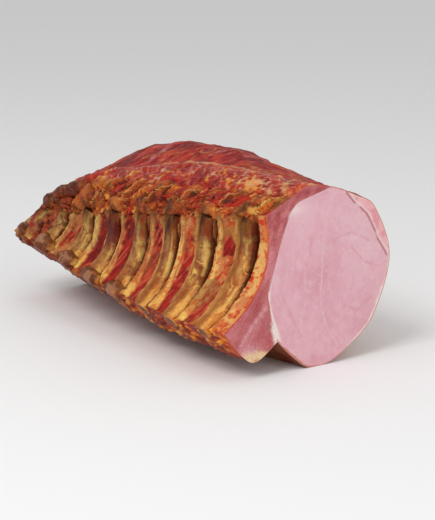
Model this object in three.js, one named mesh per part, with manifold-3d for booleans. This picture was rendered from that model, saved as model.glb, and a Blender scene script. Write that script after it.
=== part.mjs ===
// Smoked bone-in pork loin: one uncut length of loin with eight ribs and a fresh cut face.
// Millimetres, +Z up. The loin runs along X with its fresh cut face at +X, the rib side
// looks to -Y, and the origin is at the middle of the bounding box's underside.
//
// Every muscle is lofted along the loin. A section is drawn through named landmarks, and
// each landmark is given as [run, y, z], where run is the distance behind the cut face.
import * as THREE from 'three';
import { mergeVertices } from 'three/addons/utils/BufferGeometryUtils.js';
import Module from 'manifold-3d';

const wasm = await Module();
wasm.setup();

// ---- driving dimensions ------------------------------------------------------------
const LOIN_LENGTH = 222;
const RIB_COUNT = 8;
const RIB_PITCH = 28;
const FIRST_RIB = 12.5;          // run of the first rib's middle at the backbone
const RIB_LEAN = 5;              // a rib's free end lies this much further from the cut face
const RIB_HALF_WIDTH = 6.2;
const RIB_HALF_THICKNESS = 3.6;
const RIB_SQUARENESS = 0.62;     // 1 gives an oval section, less a flatter bar with round edges
const RIB_END_WIDTH = 0.82;      // a rib's width at its ends, as a share of the width halfway
const RIB_DEPTH_TOP = 1.5;       // depth of the rib's middle below the rib wall, at the top
const RIB_DEPTH_END = 2.6;       // and at its sawn end
const RIB_STICK_OUT = 0.9;       // how far the sawn ends stand out of the meat
const RIB_TOP_GAP = 0.03;        // share of the wall left free above a rib's head
const RIB_HEAD_DOME = 1.5;
const RIB_SAWN_DOME = 0.2;
const RIB_STEPS = 9;
const RIB_SIDES = 8;
const VERTEBRA_HALF_LENGTH = 11.4;
const LAST_VERTEBRA_HALF_LENGTH = 8.5;
const LAST_VERTEBRA_FORWARD = 5.5; // the last one lies this much nearer to the cut face
const VERTEBRA_HALF_THICKNESS = 5.4;
const VERTEBRA_SQUARENESS = 0.72;
const VERTEBRA_PLACE = 0.53;     // its middle, as a share of the way up the sawn strip
const VERTEBRA_MARGIN = 0.3;     // meat left at each side of it in the strip
const VERTEBRA_PROUD_NEAR = 1.8; // height of the sawn backbone over the meat round it
const VERTEBRA_PROUD_FAR = 3.8;
const SCALLOP = 1.3;             // bulge of the lower edge at each rib end
const SCALLOP_FROM = 20;         // run over which it grows from the cut face
const SEAM_GAP = 0.32;           // room between two muscles, and between bone and meat
const CAP_THICKNESS = 5.2;       // thin outer muscle on the upper right
const CAP_EDGE = 0.12;           // thickness at its two edges, as a share of the full one
const CAP_FULLNESS = 5;          // how soon it is full, 4 being a plain arch
const CAP_START = 0.54;          // it runs between these shares of the eye's outer side
const CAP_END = 0.92;
const SURFACE_RELIEF = 0.7;      // height of the lumps on the smoked surface
const RELIEF_FROM = 8;           // run over which they grow from the cut face
const REST_CLEARANCE = 3;        // below this height the surface stays without lumps
const Y_TO_MIDDLE = 4.6;         // shifts the loin so that the origin is at the box's middle
const STATION_COUNT = 31;
const SECTION_STEPS = { top: 10, wall: 11, flap: 9, seam: 10, under: 5, rest: 2, side: 24 };

// The rib wall is hollow near the cut face and turns flat towards the far end.
const WALL_CURVE = 3;            // how steeply the wall falls away, 1 being a straight line
const WALL_FLAT_FROM = 150;
const WALL_FLAT_TO = 210;
const HOLLOW = 3.8;              // extra depth of the hollow at the cut face
const HOLLOW_END = 110;          // run by which it has shrunk to its least
const HOLLOW_LEAST = 0.25;
const HOLLOW_AT_CUT = 0.7;       // share of it left right at the cut face
const HOLLOW_FULL_FROM = 30;

// Waves that add up to the lumps: height, and turns in radians per millimetre.
const LUMP_WAVES = [
  { height: 0.5, run: 0.21, y: 0.13, z: 0, start: 1.3 },
  { height: 0.3, run: 0.37, y: 0, z: -0.29, start: 0.4 },
  { height: 0.2, run: -0.11, y: 0.41, z: 0.23, start: 0 },
];

// ---- landmarks of the sections -----------------------------------------------------
const LANDMARKS = {
  chineLow: [
    [0, -31, 82.5], [40, -39.5, 77.8], [90, -43, 71.5], [140, -44.5, 64], [185, -46, 57], [222, -42, 51],
  ],
  chineHigh: [
    [0, -15, 90], [40, -24, 88], [90, -35, 85], [140, -38, 80], [185, -40.5, 71], [222, -39, 54.5],
  ],
  ribLip: [
    [0, -55.5, 26.5], [40, -59, 25.5], [90, -58.5, 26.5], [140, -59, 31], [185, -60, 37], [222, -59, 40],
  ],
  ribEdge: [[0, -44, 12.5], [60, -46, 11.5], [140, -48, 20], [185, -51, 28], [222, -54, 34]],
  flapLow: [[0, -35.5, 8.7], [60, -36, 8.5], [140, -37, 13], [185, -40, 20], [222, -44, 27]],
  notch: [[0, -23, 17], [40, -22.5, 12.5], [100, -24, 10.5], [160, -25, 12], [222, -27, 18]],
  eyeLowLeft: [[0, -12, 5.2], [15, -12, 5.2], [60, -19, 4.4], [150, -19, 4.4], [222, -19, 10]],
  restLeft: [[0, -6, 0], [15, -6, 0], [60, -15, 0], [185, -14, 0], [222, -11, 1.5]],
  restRight: [[0, 8, 0], [15, 8, 0], [60, 14, 0], [185, 12, 0], [222, 8, 1.5]],
  eyeLowRight: [[0, 24, 7.8], [60, 27, 6.6], [100, 27, 6.4], [185, 23, 7], [222, 17, 9]],
  eyeBelly: [[0, 40, 22.7], [100, 41.5, 22], [185, 35, 20], [222, 28, 19]],
  eyeSide: [[0, 49.6, 53], [100, 52, 51], [185, 44, 43], [222, 36, 37]],
  eyeShoulder: [[0, 38.8, 79.6], [100, 39, 84], [185, 29, 66], [222, 23, 53]],
  eyeSlope: [[0, 26.5, 87], [40, 27, 89], [90, 26, 96], [140, 22, 91], [185, 15, 77], [222, 10, 60]],
  eyeTop: [
    [0, 13, 92.4], [22, 12, 90.5], [42, 11, 92.6], [90, 8, 100.5],
    [140, 3, 98], [185, -2, 84.5], [222, -8, 63],
  ],
  seamTop: [
    [0, 10.5, 92.9], [22, 6, 91.8], [42, 2, 93.8], [90, -2, 94],
    [140, -13, 86.5], [185, -19, 77], [222, -22, 61],
  ],
  ridge: [[0, -5, 94.8], [22, -7, 95.2], [90, -20, 90], [140, -26, 85], [185, -31, 76], [222, -31, 59]],
};

// The seam between the eye and the rib-side meat, from the notch up to the top.
const SEAM = {
  low: [[0, -27, 34], [140, -27, 30], [222, -29, 28]],
  waist: [[0, -28, 43], [140, -28, 40], [222, -30, 36]],
  middle: [[0, -24.5, 57], [140, -27, 51], [222, -29, 43]],
  upper: [[0, -18, 76], [140, -24, 61], [222, -27, 50]],
  bend: [[0, -12, 86], [140, -20, 71], [222, -25, 55]],
  roof: [[0, -1, 89.7], [40, -7, 89], [140, -16, 79], [222, -23, 58]],
};

// ---- small helpers -----------------------------------------------------------------
const smooth = (t) => t * t * (3 - 2 * t);
const clamp01 = (t) => Math.min(1, Math.max(0, t));
const squared = (t, power) => Math.sign(t) * Math.abs(t) ** power;

// Slope of one coordinate at key j of a landmark, level at a peak so nothing overshoots.
function keySlope(keys, j, axis) {
  const rise = (a, b) => (keys[b][axis] - keys[a][axis]) / (keys[b][0] - keys[a][0]);
  if (j === 0) return rise(0, 1);
  if (j === keys.length - 1) return rise(j - 1, j);
  const before = keys[j][0] - keys[j - 1][0];
  const after = keys[j + 1][0] - keys[j][0];
  if (rise(j - 1, j) * rise(j, j + 1) <= 0) return 0;
  return (rise(j - 1, j) * after + rise(j, j + 1) * before) / (before + after);
}

// Place of a landmark at a given run, by cubic curves between its keys.
function landmark(keys, run) {
  const s = Math.min(Math.max(run, keys[0][0]), keys[keys.length - 1][0]);
  let j = 0;
  while (j < keys.length - 2 && s > keys[j + 1][0]) j += 1;
  const span = keys[j + 1][0] - keys[j][0];
  const t = (s - keys[j][0]) / span;
  const blend = (axis) => (2 * t ** 3 - 3 * t * t + 1) * keys[j][axis]
    + (t ** 3 - 2 * t * t + t) * span * keySlope(keys, j, axis)
    + (3 * t * t - 2 * t ** 3) * keys[j + 1][axis]
    + (t ** 3 - t * t) * span * keySlope(keys, j + 1, axis);
  return new THREE.Vector2(blend(1), blend(2));
}

// The same line cut into equal steps.
function equalSteps(line, steps) {
  const reach = [0];
  for (let i = 1; i < line.length; i += 1) reach.push(reach[i - 1] + line[i].distanceTo(line[i - 1]));
  let j = 1;
  return Array.from({ length: steps + 1 }, (_, k) => {
    const want = (reach[reach.length - 1] * k) / steps;
    while (j < line.length - 1 && reach[j] < want) j += 1;
    return line[j - 1].clone().lerp(line[j], (want - reach[j - 1]) / (reach[j] - reach[j - 1]));
  });
}

// A smooth open curve through points, cut into equal steps. It leaves its first point or
// reaches its last one level where level says so, as the loin does on the table.
const FINE_STEPS = 16;
function curveThrough(points, steps, level = 'none') {
  const beyond = (end, next) => new THREE.Vector2(2 * end.x - next.x, next.y);
  const before = level === 'start' ? [beyond(points[0], points[1])] : [];
  const after = level === 'end' ? [beyond(points[points.length - 1], points[points.length - 2])] : [];
  const curve = new THREE.SplineCurve([...before, ...points, ...after]);
  const spans = curve.points.length - 1;
  const fine = Array.from({ length: (points.length - 1) * FINE_STEPS + 1 }, (_, i) => (
    curve.getPoint((before.length + i / FINE_STEPS) / spans)
  ));
  return equalSteps(fine, steps);
}

// Slow lumps of the smoked surface, between -1 and 1.
function lumps(run, y, z) {
  const wave = (w) => w.height * Math.sin(run * w.run + y * w.y + z * w.z + w.start);
  return LUMP_WAVES.reduce((sum, w) => sum + wave(w), 0);
}

// ---- sections ----------------------------------------------------------------------
const at = (name, run) => landmark(LANDMARKS[name], run);

// How close a run is to the middle of a rib at its free end, from 0 to 1.
function ribNearness(run) {
  const phase = ((run - FIRST_RIB - RIB_LEAN) / RIB_PITCH) * 2 * Math.PI;
  return 0.5 + 0.5 * Math.cos(phase);
}

// The concave inner wall that carries the ribs; v runs from the backbone to the lip.
function wallPoint(run, v) {
  const high = at('chineLow', run);
  const low = at('ribLip', run);
  const flat = smooth(clamp01((run - WALL_FLAT_FROM) / (WALL_FLAT_TO - WALL_FLAT_FROM)));
  const power = WALL_CURVE + (1 - WALL_CURVE) * flat;
  const shrunk = Math.max(1 - run / HOLLOW_END, HOLLOW_LEAST) * (1 - flat);
  const nearCut = HOLLOW_AT_CUT + (1 - HOLLOW_AT_CUT) * clamp01(run / HOLLOW_FULL_FROM);
  const arch = 4 * v * (1 - v);
  const y = high.x + (low.x - high.x) * v ** power + HOLLOW * shrunk * nearCut * arch;
  return new THREE.Vector2(y, high.y + (low.y - high.y) * v);
}

function wallCurve(run, steps) {
  return Array.from({ length: steps + 1 }, (_, i) => wallPoint(run, i / steps));
}

function seamCurve(run, steps) {
  const inner = Object.values(SEAM).map((keys) => landmark(keys, run));
  return curveThrough([at('notch', run), ...inner, at('seamTop', run)], steps);
}

// Moves a curve sideways, to the right of its direction, by a distance given for each point.
function offsetCurve(points, distanceAt) {
  return points.map((p, i) => {
    const a = points[Math.max(i - 1, 0)];
    const b = points[Math.min(i + 1, points.length - 1)];
    const along = b.clone().sub(a).normalize();
    const distance = distanceAt(p, i);
    return new THREE.Vector2(p.x + along.y * distance, p.y - along.x * distance);
  });
}

// Lower edge of the rib flap, scalloped at each rib end.
function flapCurve(run, steps) {
  const push = SCALLOP * Math.SQRT1_2 * (ribNearness(run) - 0.5) * clamp01(run / SCALLOP_FROM);
  const edge = at('ribEdge', run).addScalar(-push);
  return curveThrough([at('ribLip', run), edge, at('flapLow', run), at('notch', run)], steps);
}

// Smoked outside of the eye from the notch, under the loin and up to the top seam.
const UNDER = ['notch', 'eyeLowLeft', 'restLeft'];
const OUTER_SIDE = [
  'restRight', 'eyeLowRight', 'eyeBelly', 'eyeSide', 'eyeShoulder', 'eyeSlope', 'eyeTop', 'seamTop',
];
function eyeOutside(run) {
  const along = (names) => names.map((name) => at(name, run));
  const under = curveThrough(along(UNDER), SECTION_STEPS.under, 'end');
  const rest = curveThrough(along(['restLeft', 'restRight']), SECTION_STEPS.rest);
  const side = curveThrough(along(OUTER_SIDE), SECTION_STEPS.side, 'start');
  return [...under, ...rest.slice(1), ...side.slice(1)];
}

// Lumps on the part of an outline that isn't at rest on the table or in a seam.
function roughen(points, run) {
  const height = SURFACE_RELIEF * clamp01(run / RELIEF_FROM);
  return offsetCurve(points, (p, i) => {
    const calm = i === 0 || i === points.length - 1 || p.y < REST_CLEARANCE;
    return calm ? 0 : height * lumps(run, p.x, p.y);
  });
}

// Closed outline of the rib-side meat: top, rib wall, flap and seam.
function ribMeatSection(run) {
  const names = ['seamTop', 'ridge', 'chineHigh', 'chineLow'];
  const top = roughen(curveThrough(names.map((n) => at(n, run)), SECTION_STEPS.top), run);
  const wall = wallCurve(run, SECTION_STEPS.wall);
  const flap = flapCurve(run, SECTION_STEPS.flap);
  const seam = offsetCurve(seamCurve(run, SECTION_STEPS.seam), () => -SEAM_GAP / 2);
  return [...top.slice(1), ...wall.slice(1), ...flap.slice(1, -1), ...seam];
}

// The cap is the part of the eye's outside between these two steps.
const SIDE_FROM = SECTION_STEPS.under + SECTION_STEPS.rest;
const CAP_FROM = SIDE_FROM + Math.round(SECTION_STEPS.side * CAP_START);
const CAP_TO = SIDE_FROM + Math.round(SECTION_STEPS.side * CAP_END);

// Inner face of the cap muscle, or with extra depth the bed that it lies in.
function capInside(outside, extra) {
  const sunk = offsetCurve(outside, (p, i) => {
    const t = (i - CAP_FROM) / (CAP_TO - CAP_FROM);
    const arch = CAP_FULLNESS * t * (1 - t) + CAP_EDGE;
    return -CAP_THICKNESS * Math.min(1, arch) - extra;
  });
  return sunk.slice(CAP_FROM, CAP_TO + 1);
}

function capSection(run) {
  const outside = roughen(eyeOutside(run), run);
  const skin = outside.slice(CAP_FROM, CAP_TO + 1);
  return [...skin, ...capInside(outside, 0).reverse()];
}

function eyeSection(run) {
  const outside = roughen(eyeOutside(run), run);
  const bed = capInside(outside, SEAM_GAP);
  const skin = [...outside.slice(0, CAP_FROM), ...bed, ...outside.slice(CAP_TO + 1)];
  const seam = offsetCurve(seamCurve(run, SECTION_STEPS.seam), () => SEAM_GAP / 2);
  return [...skin.slice(1, -1), ...seam.reverse()];
}

// ---- lofts -------------------------------------------------------------------------
// Closed solid through the sections.
// The quads are split along one diagonal or the other, so that two muscles that share a
// seam have it folded alike.
function loft(section, otherDiagonal = false) {
  const rings = [];
  for (let k = 0; k < STATION_COUNT; k += 1) {
    const run = (LOIN_LENGTH * k) / (STATION_COUNT - 1);
    rings.push({ run, outline: section(run) });
  }
  const size = rings[0].outline.length;
  const positions = rings.flatMap(({ run, outline }) => outline.flatMap((p) => [-run, p.x, p.y]));
  const faces = [];
  for (let k = 0; k + 1 < rings.length; k += 1) {
    for (let i = 0; i < size; i += 1) {
      const a = k * size + i;
      const b = k * size + ((i + 1) % size);
      if (otherDiagonal) {
        faces.push(a, b + size, b, a, a + size, b + size);
      } else {
        faces.push(a, a + size, b, b, a + size, b + size);
      }
    }
  }
  const near = THREE.ShapeUtils.triangulateShape(rings[0].outline, []);
  const far = THREE.ShapeUtils.triangulateShape(rings[rings.length - 1].outline, []);
  const farStart = (rings.length - 1) * size;
  near.forEach(([a, b, c]) => faces.push(a, b, c));
  far.forEach(([a, b, c]) => faces.push(farStart + a, farStart + c, farStart + b));
  return solidFrom(positions, faces);
}

// ---- solids ------------------------------------------------------------------------
function solidFrom(positions, faces) {
  const geometry = new THREE.BufferGeometry();
  geometry.setAttribute('position', new THREE.Float32BufferAttribute(positions, 3));
  geometry.setIndex(faces);
  return solidOf(geometry);
}

function solidOf(geometry) {
  const bare = geometry.clone();
  bare.deleteAttribute('normal');
  bare.deleteAttribute('uv');
  const merged = mergeVertices(bare, 1e-4);
  return new wasm.Manifold(new wasm.Mesh({
    numProp: 3,
    vertProperties: Float32Array.from(merged.attributes.position.array),
    triVerts: Uint32Array.from(merged.index.array),
  }));
}

function geometryOf(solid) {
  const { vertProperties, triVerts, numProp } = solid.getMesh();
  const geometry = new THREE.BufferGeometry();
  geometry.setAttribute('position', new THREE.Float32BufferAttribute(vertProperties, numProp));
  geometry.setIndex(Array.from(triVerts));
  geometry.computeVertexNormals();
  return geometry;
}

// The largest body of a solid, without scraps that a cut leaves behind.
function largestBody(solid) {
  return solid.decompose().reduce((best, body) => (body.volume() > best.volume() ? body : best));
}

// ---- bones -------------------------------------------------------------------------
const WALL_HEIGHT = 100;         // rough length of the rib wall, to turn a share into millimetres
const LOOK_AHEAD = 0.01;         // step, as a share of the wall, that gives a rib's direction

// Middle line of a rib below the rib wall, from the backbone to its sawn end.
function ribAxisPoint(index, v) {
  const run = FIRST_RIB + RIB_PITCH * index + RIB_LEAN * v;
  const reach = Math.min(v, 1);
  const above = wallPoint(run, Math.min(reach, 1 - LOOK_AHEAD));
  const along = wallPoint(run, Math.min(reach + LOOK_AHEAD, 1)).sub(above).normalize();
  const depth = RIB_DEPTH_TOP + (RIB_DEPTH_END - RIB_DEPTH_TOP) * smooth(reach);
  const p = wallPoint(run, reach)
    .addScaledVector(new THREE.Vector2(-along.y, along.x), depth)
    .addScaledVector(along, Math.max(v - 1, 0) * WALL_HEIGHT);
  return new THREE.Vector3(-run, p.x, p.y);
}

function ribDirection(index, v) {
  return ribAxisPoint(index, v + LOOK_AHEAD).sub(ribAxisPoint(index, v - LOOK_AHEAD)).normalize();
}

// One ring of points round a rib, as a flat bar with rounded edges.
function ribRing(index, v, growth) {
  const middle = ribAxisPoint(index, v);
  const ahead = ribDirection(index, v);
  const wide = new THREE.Vector3(1, 0, 0).addScaledVector(ahead, -ahead.x).normalize();
  const thick = new THREE.Vector3().crossVectors(ahead, wide);
  const waist = RIB_END_WIDTH + (1 - RIB_END_WIDTH) * Math.sin(Math.PI * clamp01(v));
  return Array.from({ length: RIB_SIDES }, (_, i) => {
    const turn = (2 * Math.PI * i) / RIB_SIDES;
    return middle.clone()
      .addScaledVector(wide, (RIB_HALF_WIDTH * waist + growth) * squared(Math.cos(turn), RIB_SQUARENESS))
      .addScaledVector(thick, (RIB_HALF_THICKNESS + growth) * squared(Math.sin(turn), RIB_SQUARENESS));
  });
}

function ribSolid(index, growth) {
  const first = RIB_TOP_GAP;
  const last = 1 + RIB_STICK_OUT / WALL_HEIGHT;
  const head = ribAxisPoint(index, first)
    .addScaledVector(ribDirection(index, first), -RIB_HEAD_DOME - growth);
  const sawn = ribAxisPoint(index, last)
    .addScaledVector(ribDirection(index, last), RIB_SAWN_DOME + growth);
  const rings = Array.from({ length: RIB_STEPS + 1 }, (_, k) => (
    ribRing(index, first + ((last - first) * k) / RIB_STEPS, growth)
  ));
  return tube(rings, head, sawn);
}

// Closed solid through rings of points, pointed at both ends.
function tube(rings, startTip, endTip) {
  const sides = rings[0].length;
  const positions = [...rings.flat(), startTip, endTip].flatMap((p) => p.toArray());
  const start = rings.length * sides;
  const end = start + 1;
  const faces = [];
  for (let i = 0; i < sides; i += 1) {
    const j = (i + 1) % sides;
    for (let k = 0; k + 1 < rings.length; k += 1) {
      const a = k * sides + i;
      const b = k * sides + j;
      faces.push(a, b, a + sides, b, b + sides, a + sides);
    }
    faces.push(start, j, i);
    faces.push(end, end - 1 - sides + i, end - 1 - sides + j);
  }
  return solidFrom(positions, faces);
}

// A sawn vertebra: a rounded block lying in the strip between the backbone's two edges.
function vertebraSolid(index, growth) {
  const last = index === RIB_COUNT - 1;
  const run = FIRST_RIB + RIB_PITCH * index - (last ? LAST_VERTEBRA_FORWARD : 0);
  const halfLength = last ? LAST_VERTEBRA_HALF_LENGTH : VERTEBRA_HALF_LENGTH;
  const low = at('chineLow', run);
  const across = at('chineHigh', run).sub(low);
  const halfWidth = across.length() / 2 - VERTEBRA_MARGIN;
  const share = index / (RIB_COUNT - 1);
  const proud = VERTEBRA_PROUD_NEAR + (VERTEBRA_PROUD_FAR - VERTEBRA_PROUD_NEAR) * share;
  const middle = low.clone().addScaledVector(across, VERTEBRA_PLACE);
  across.normalize();
  const outward = new THREE.Vector2(-across.y, across.x);
  middle.addScaledVector(outward, proud - VERTEBRA_HALF_THICKNESS);
  const ball = new THREE.SphereGeometry(1, 14, 8);
  const place = ball.attributes.position;
  for (let i = 0; i < place.count; i += 1) {
    const x = squared(place.getX(i), VERTEBRA_SQUARENESS) * (halfLength + growth);
    const wide = squared(place.getY(i), VERTEBRA_SQUARENESS) * (halfWidth + growth);
    const tall = squared(place.getZ(i), VERTEBRA_SQUARENESS) * (VERTEBRA_HALF_THICKNESS + growth);
    const spot = middle.clone().addScaledVector(across, wide).addScaledVector(outward, tall);
    place.setXYZ(i, x - run, spot.x, spot.y);
  }
  return solidOf(ball);
}

// ---- materials ---------------------------------------------------------------------
const finish = (color, roughness) => new THREE.MeshStandardMaterial({ color, roughness, metalness: 0 });
const MATERIALS = {
  eye: finish('#deaab2', 0.45),
  cap: finish('#d08a92', 0.45),
  ribMeat: finish('#a5402c', 0.5),
  rib: finish('#b8873f', 0.5),
  vertebra: finish('#9a6a3c', 0.6),
};

// ---- assembly ----------------------------------------------------------------------
function named(name, solid, material) {
  const mesh = new THREE.Mesh(geometryOf(largestBody(solid)), material);
  mesh.name = name;
  return mesh;
}

function buildLoin() {
  const loin = new THREE.Group();
  loin.position.set(LOIN_LENGTH / 2, Y_TO_MIDDLE, 0);
  let ribMeat = loft(ribMeatSection);
  for (let i = 0; i < RIB_COUNT; i += 1) {
    const vertebraRoom = vertebraSolid(i, SEAM_GAP);
    ribMeat = ribMeat.subtract(ribSolid(i, SEAM_GAP)).subtract(vertebraRoom);
    loin.add(named(`vertebra_${i + 1}`, vertebraSolid(i, 0), MATERIALS.vertebra));
    loin.add(named(`rib_${i + 1}`, ribSolid(i, 0).subtract(vertebraRoom), MATERIALS.rib));
  }
  loin.add(named('rib_meat', ribMeat, MATERIALS.ribMeat));
  loin.add(named('loin_eye', loft(eyeSection, true), MATERIALS.eye));
  loin.add(named('cap_muscle', loft(capSection), MATERIALS.cap));
  return loin;
}

const model = new THREE.Group();
model.add(buildLoin());
export default model;
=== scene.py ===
# Looks of a smoked bone-in pork loin: an uncut length with eight ribs, a sawn backbone on
# top and one fresh pink cut face. Forms are worked out in millimetres, with "run" as the
# distance behind the fresh cut face, and turned into the frame's metres at the end.
import math
import bpy
import numpy as np
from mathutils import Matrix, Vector


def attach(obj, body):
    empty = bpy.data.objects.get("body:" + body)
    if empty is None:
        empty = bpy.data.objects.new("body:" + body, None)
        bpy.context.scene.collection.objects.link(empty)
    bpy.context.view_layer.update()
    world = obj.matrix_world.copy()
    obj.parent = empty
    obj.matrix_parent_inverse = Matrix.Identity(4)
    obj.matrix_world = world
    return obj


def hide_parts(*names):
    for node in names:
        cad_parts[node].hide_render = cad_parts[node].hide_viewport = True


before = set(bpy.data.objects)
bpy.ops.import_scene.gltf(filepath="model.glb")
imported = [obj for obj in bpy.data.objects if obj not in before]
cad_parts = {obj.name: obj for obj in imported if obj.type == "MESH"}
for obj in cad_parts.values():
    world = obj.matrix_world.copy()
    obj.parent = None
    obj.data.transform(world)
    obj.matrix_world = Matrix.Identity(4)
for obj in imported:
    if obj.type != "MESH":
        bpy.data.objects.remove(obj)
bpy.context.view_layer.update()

# ---- driving dimensions, mm ----------------------------------------------------------
LOIN_LENGTH = 222.0
Y_TO_MIDDLE = 4.6
RIB_COUNT = 8
RIB_PITCH = 28.0
FIRST_RIB = 12.5
RIB_LEAN = 5.0
RIB_HALF_WIDTH = 6.2
RIB_HALF_THICKNESS = 3.6
RIB_SQUARENESS = 0.62
RIB_END_WIDTH = 0.82
RIB_DEPTH_TOP = 1.5
RIB_DEPTH_END = 2.6
RIB_STICK_OUT = 0.9
RIB_TOP_GAP = 0.03
WALL_HEIGHT = 100.0
VERTEBRA_HALF_LENGTH = 11.4
LAST_VERTEBRA_HALF_LENGTH = 8.5
LAST_VERTEBRA_FORWARD = 5.5
VERTEBRA_HALF_THICKNESS = 5.4
VERTEBRA_SQUARENESS = 0.72
VERTEBRA_PLACE = 0.53
VERTEBRA_MARGIN = 0.3
VERTEBRA_PROUD_NEAR = 1.8
VERTEBRA_PROUD_FAR = 3.8
SCALLOP = 1.3
CAP_THICKNESS = 5.2
CAP_START = 0.54
CAP_END = 0.92

# ---- landmarks of the sections: [run, y, z] -------------------------------------------
LANDMARKS = {
    "chine_low": [
        [0, -31, 82.5], [40, -39.5, 77.8], [90, -43, 71.5],
        [140, -44.5, 64], [185, -46, 57], [222, -42, 51],
    ],
    "chine_high": [
        [0, -15, 90], [40, -24, 88], [90, -35, 85],
        [140, -38, 80], [185, -40.5, 71], [222, -39, 54.5],
    ],
    "rib_lip": [
        [0, -55.5, 26.5], [40, -59, 25.5], [90, -58.5, 26.5],
        [140, -59, 31], [185, -60, 37], [222, -59, 40],
    ],
    "rib_edge": [[0, -44, 12.5], [60, -46, 11.5], [140, -48, 20], [185, -51, 28], [222, -54, 34]],
    "flap_low": [[0, -35.5, 8.7], [60, -36, 8.5], [140, -37, 13], [185, -40, 20], [222, -44, 27]],
    "notch": [[0, -23, 17], [40, -22.5, 12.5], [100, -24, 10.5], [160, -25, 12], [222, -27, 18]],
    "eye_low_left": [[0, -12.6, 6.8], [15, -12, 5.2], [60, -19, 4.4], [150, -19, 4.4], [222, -19, 10]],
    "rest_left": [[0, -1.5, 0], [15, -6, 0], [60, -15, 0], [185, -14, 0], [222, -11, 1.5]],
    "rest_right": [[0, 5, 0], [15, 8, 0], [60, 14, 0], [185, 12, 0], [222, 8, 1.5]],
    "eye_low_right": [[0, 24, 7.8], [60, 27, 6.6], [100, 27, 6.4], [185, 23, 7], [222, 17, 9]],
    "eye_belly": [[0, 40, 22.7], [100, 41.5, 22], [185, 35, 20], [222, 28, 19]],
    "eye_side": [[0, 49.6, 53], [100, 52, 51], [185, 44, 43], [222, 36, 37]],
    "eye_shoulder": [[0, 38.8, 79.6], [100, 39, 84], [185, 29, 66], [222, 23, 53]],
    "eye_slope": [[0, 26.5, 87], [40, 27, 89], [90, 26, 96], [140, 22, 91], [185, 15, 77], [222, 10, 60]],
    "eye_top": [
        [0, 13, 92.4], [22, 12, 90.5], [42, 11, 92.6], [90, 8, 100.5],
        [140, 3, 98], [185, -2, 84.5], [222, -8, 63],
    ],
    "seam_top": [
        [0, 10.5, 92.9], [22, 6, 91.8], [42, 2, 93.8], [90, -2, 94],
        [140, -13, 86.5], [185, -19, 77], [222, -22, 61],
    ],
    "ridge": [[0, -5, 94.8], [22, -7, 95.2], [90, -20, 90], [140, -26, 85], [185, -31, 76], [222, -31, 59]],
    "seam_low": [[0, -27, 34], [140, -27, 30], [222, -29, 28]],
    "seam_waist": [[0, -28, 43], [140, -28, 40], [222, -30, 36]],
    "seam_middle": [[0, -24.5, 57], [140, -27, 51], [222, -29, 43]],
    "seam_upper": [[0, -18, 76], [140, -24, 61], [222, -27, 50]],
    "seam_bend": [[0, -12, 86], [140, -20, 71], [222, -25, 55]],
    "seam_roof": [[0, -1, 89.7], [40, -7, 89], [140, -16, 79], [222, -23, 58]],
}
SEAM = [
    "notch", "seam_low", "seam_waist", "seam_middle",
    "seam_upper", "seam_bend", "seam_roof", "seam_top",
]
UNDER = ["notch", "eye_low_left", "rest_left"]
EYE_SIDE = [
    "rest_right", "eye_low_right", "eye_belly", "eye_side",
    "eye_shoulder", "eye_slope", "eye_top", "seam_top",
]


# ---- colours --------------------------------------------------------------------------
def srgb(red, green, blue):
    """Linear colour of an ordinary 0 to 255 one."""
    c = np.array([red, green, blue], float) / 255
    return np.where(c <= 0.04045, c / 12.92, ((c + 0.055) / 1.055) ** 2.4)


RED = srgb(156, 32, 24)
CRIMSON = srgb(116, 16, 16)
SCARLET = srgb(188, 40, 18)
ROSE = srgb(192, 78, 58)
ORANGE = srgb(200, 96, 26)
YELLOW = srgb(222, 150, 42)
BUTTER = srgb(232, 190, 96)
CREAM = srgb(206, 158, 92)
PEACH = srgb(186, 112, 66)
TAN = srgb(146, 88, 38)
OCHRE = srgb(178, 120, 56)
OLIVE = srgb(122, 90, 34)
MOSS = srgb(140, 120, 66)
BROWN = srgb(98, 44, 12)
UMBER = srgb(50, 18, 4)
MAROON = srgb(70, 10, 4)
PLUM = srgb(92, 44, 30)
MAUVE = srgb(148, 98, 80)
GREY = srgb(94, 66, 48)
AMBER = srgb(168, 84, 28)
EYE_PINK = srgb(224, 172, 182)
EYE_ROSE = srgb(212, 150, 162)
EYE_PALE = srgb(230, 190, 196)
CUT_RED = srgb(188, 102, 102)
CUT_DARK = srgb(158, 62, 68)
CUT_PINK = srgb(208, 134, 138)
CAP_PINK = srgb(234, 176, 180)
CAP_ROSE = srgb(222, 150, 156)
SLIT_RED = srgb(168, 80, 92)
SKIN_BROWN = srgb(186, 96, 62)
SKIN_FAT = srgb(206, 146, 84)
SKIN_PALE = srgb(222, 180, 124)
FLAP_FAT = srgb(232, 204, 158)
DEEP_RED = srgb(96, 14, 4)
DEEPEST_RED = srgb(70, 4, 2)
MARROW = srgb(92, 52, 30)
BONE_RIM = srgb(184, 132, 88)
FAT_WHITE = srgb(238, 222, 212)


def mix(a, b, share):
    """From colour a to colour b by a share that may differ at each point."""
    share = np.clip(np.asarray(share, float), 0, 1)[..., None]
    return a * (1 - share) + b * share


def layered(color, *coats):
    """A colour under coats of paint, each a pair of the coat's colour and its share."""
    for coat, share in coats:
        color = mix(color, coat, share)
    return color


def smooth(low, high, value):
    t = np.clip((value - low) / (high - low), 0, 1)
    return t * t * (3 - 2 * t)


def bump(value, middle, half_width):
    """1 at the middle, 0 beyond the half width."""
    return 1 - smooth(0, 1, np.abs(value - middle) / half_width)


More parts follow.
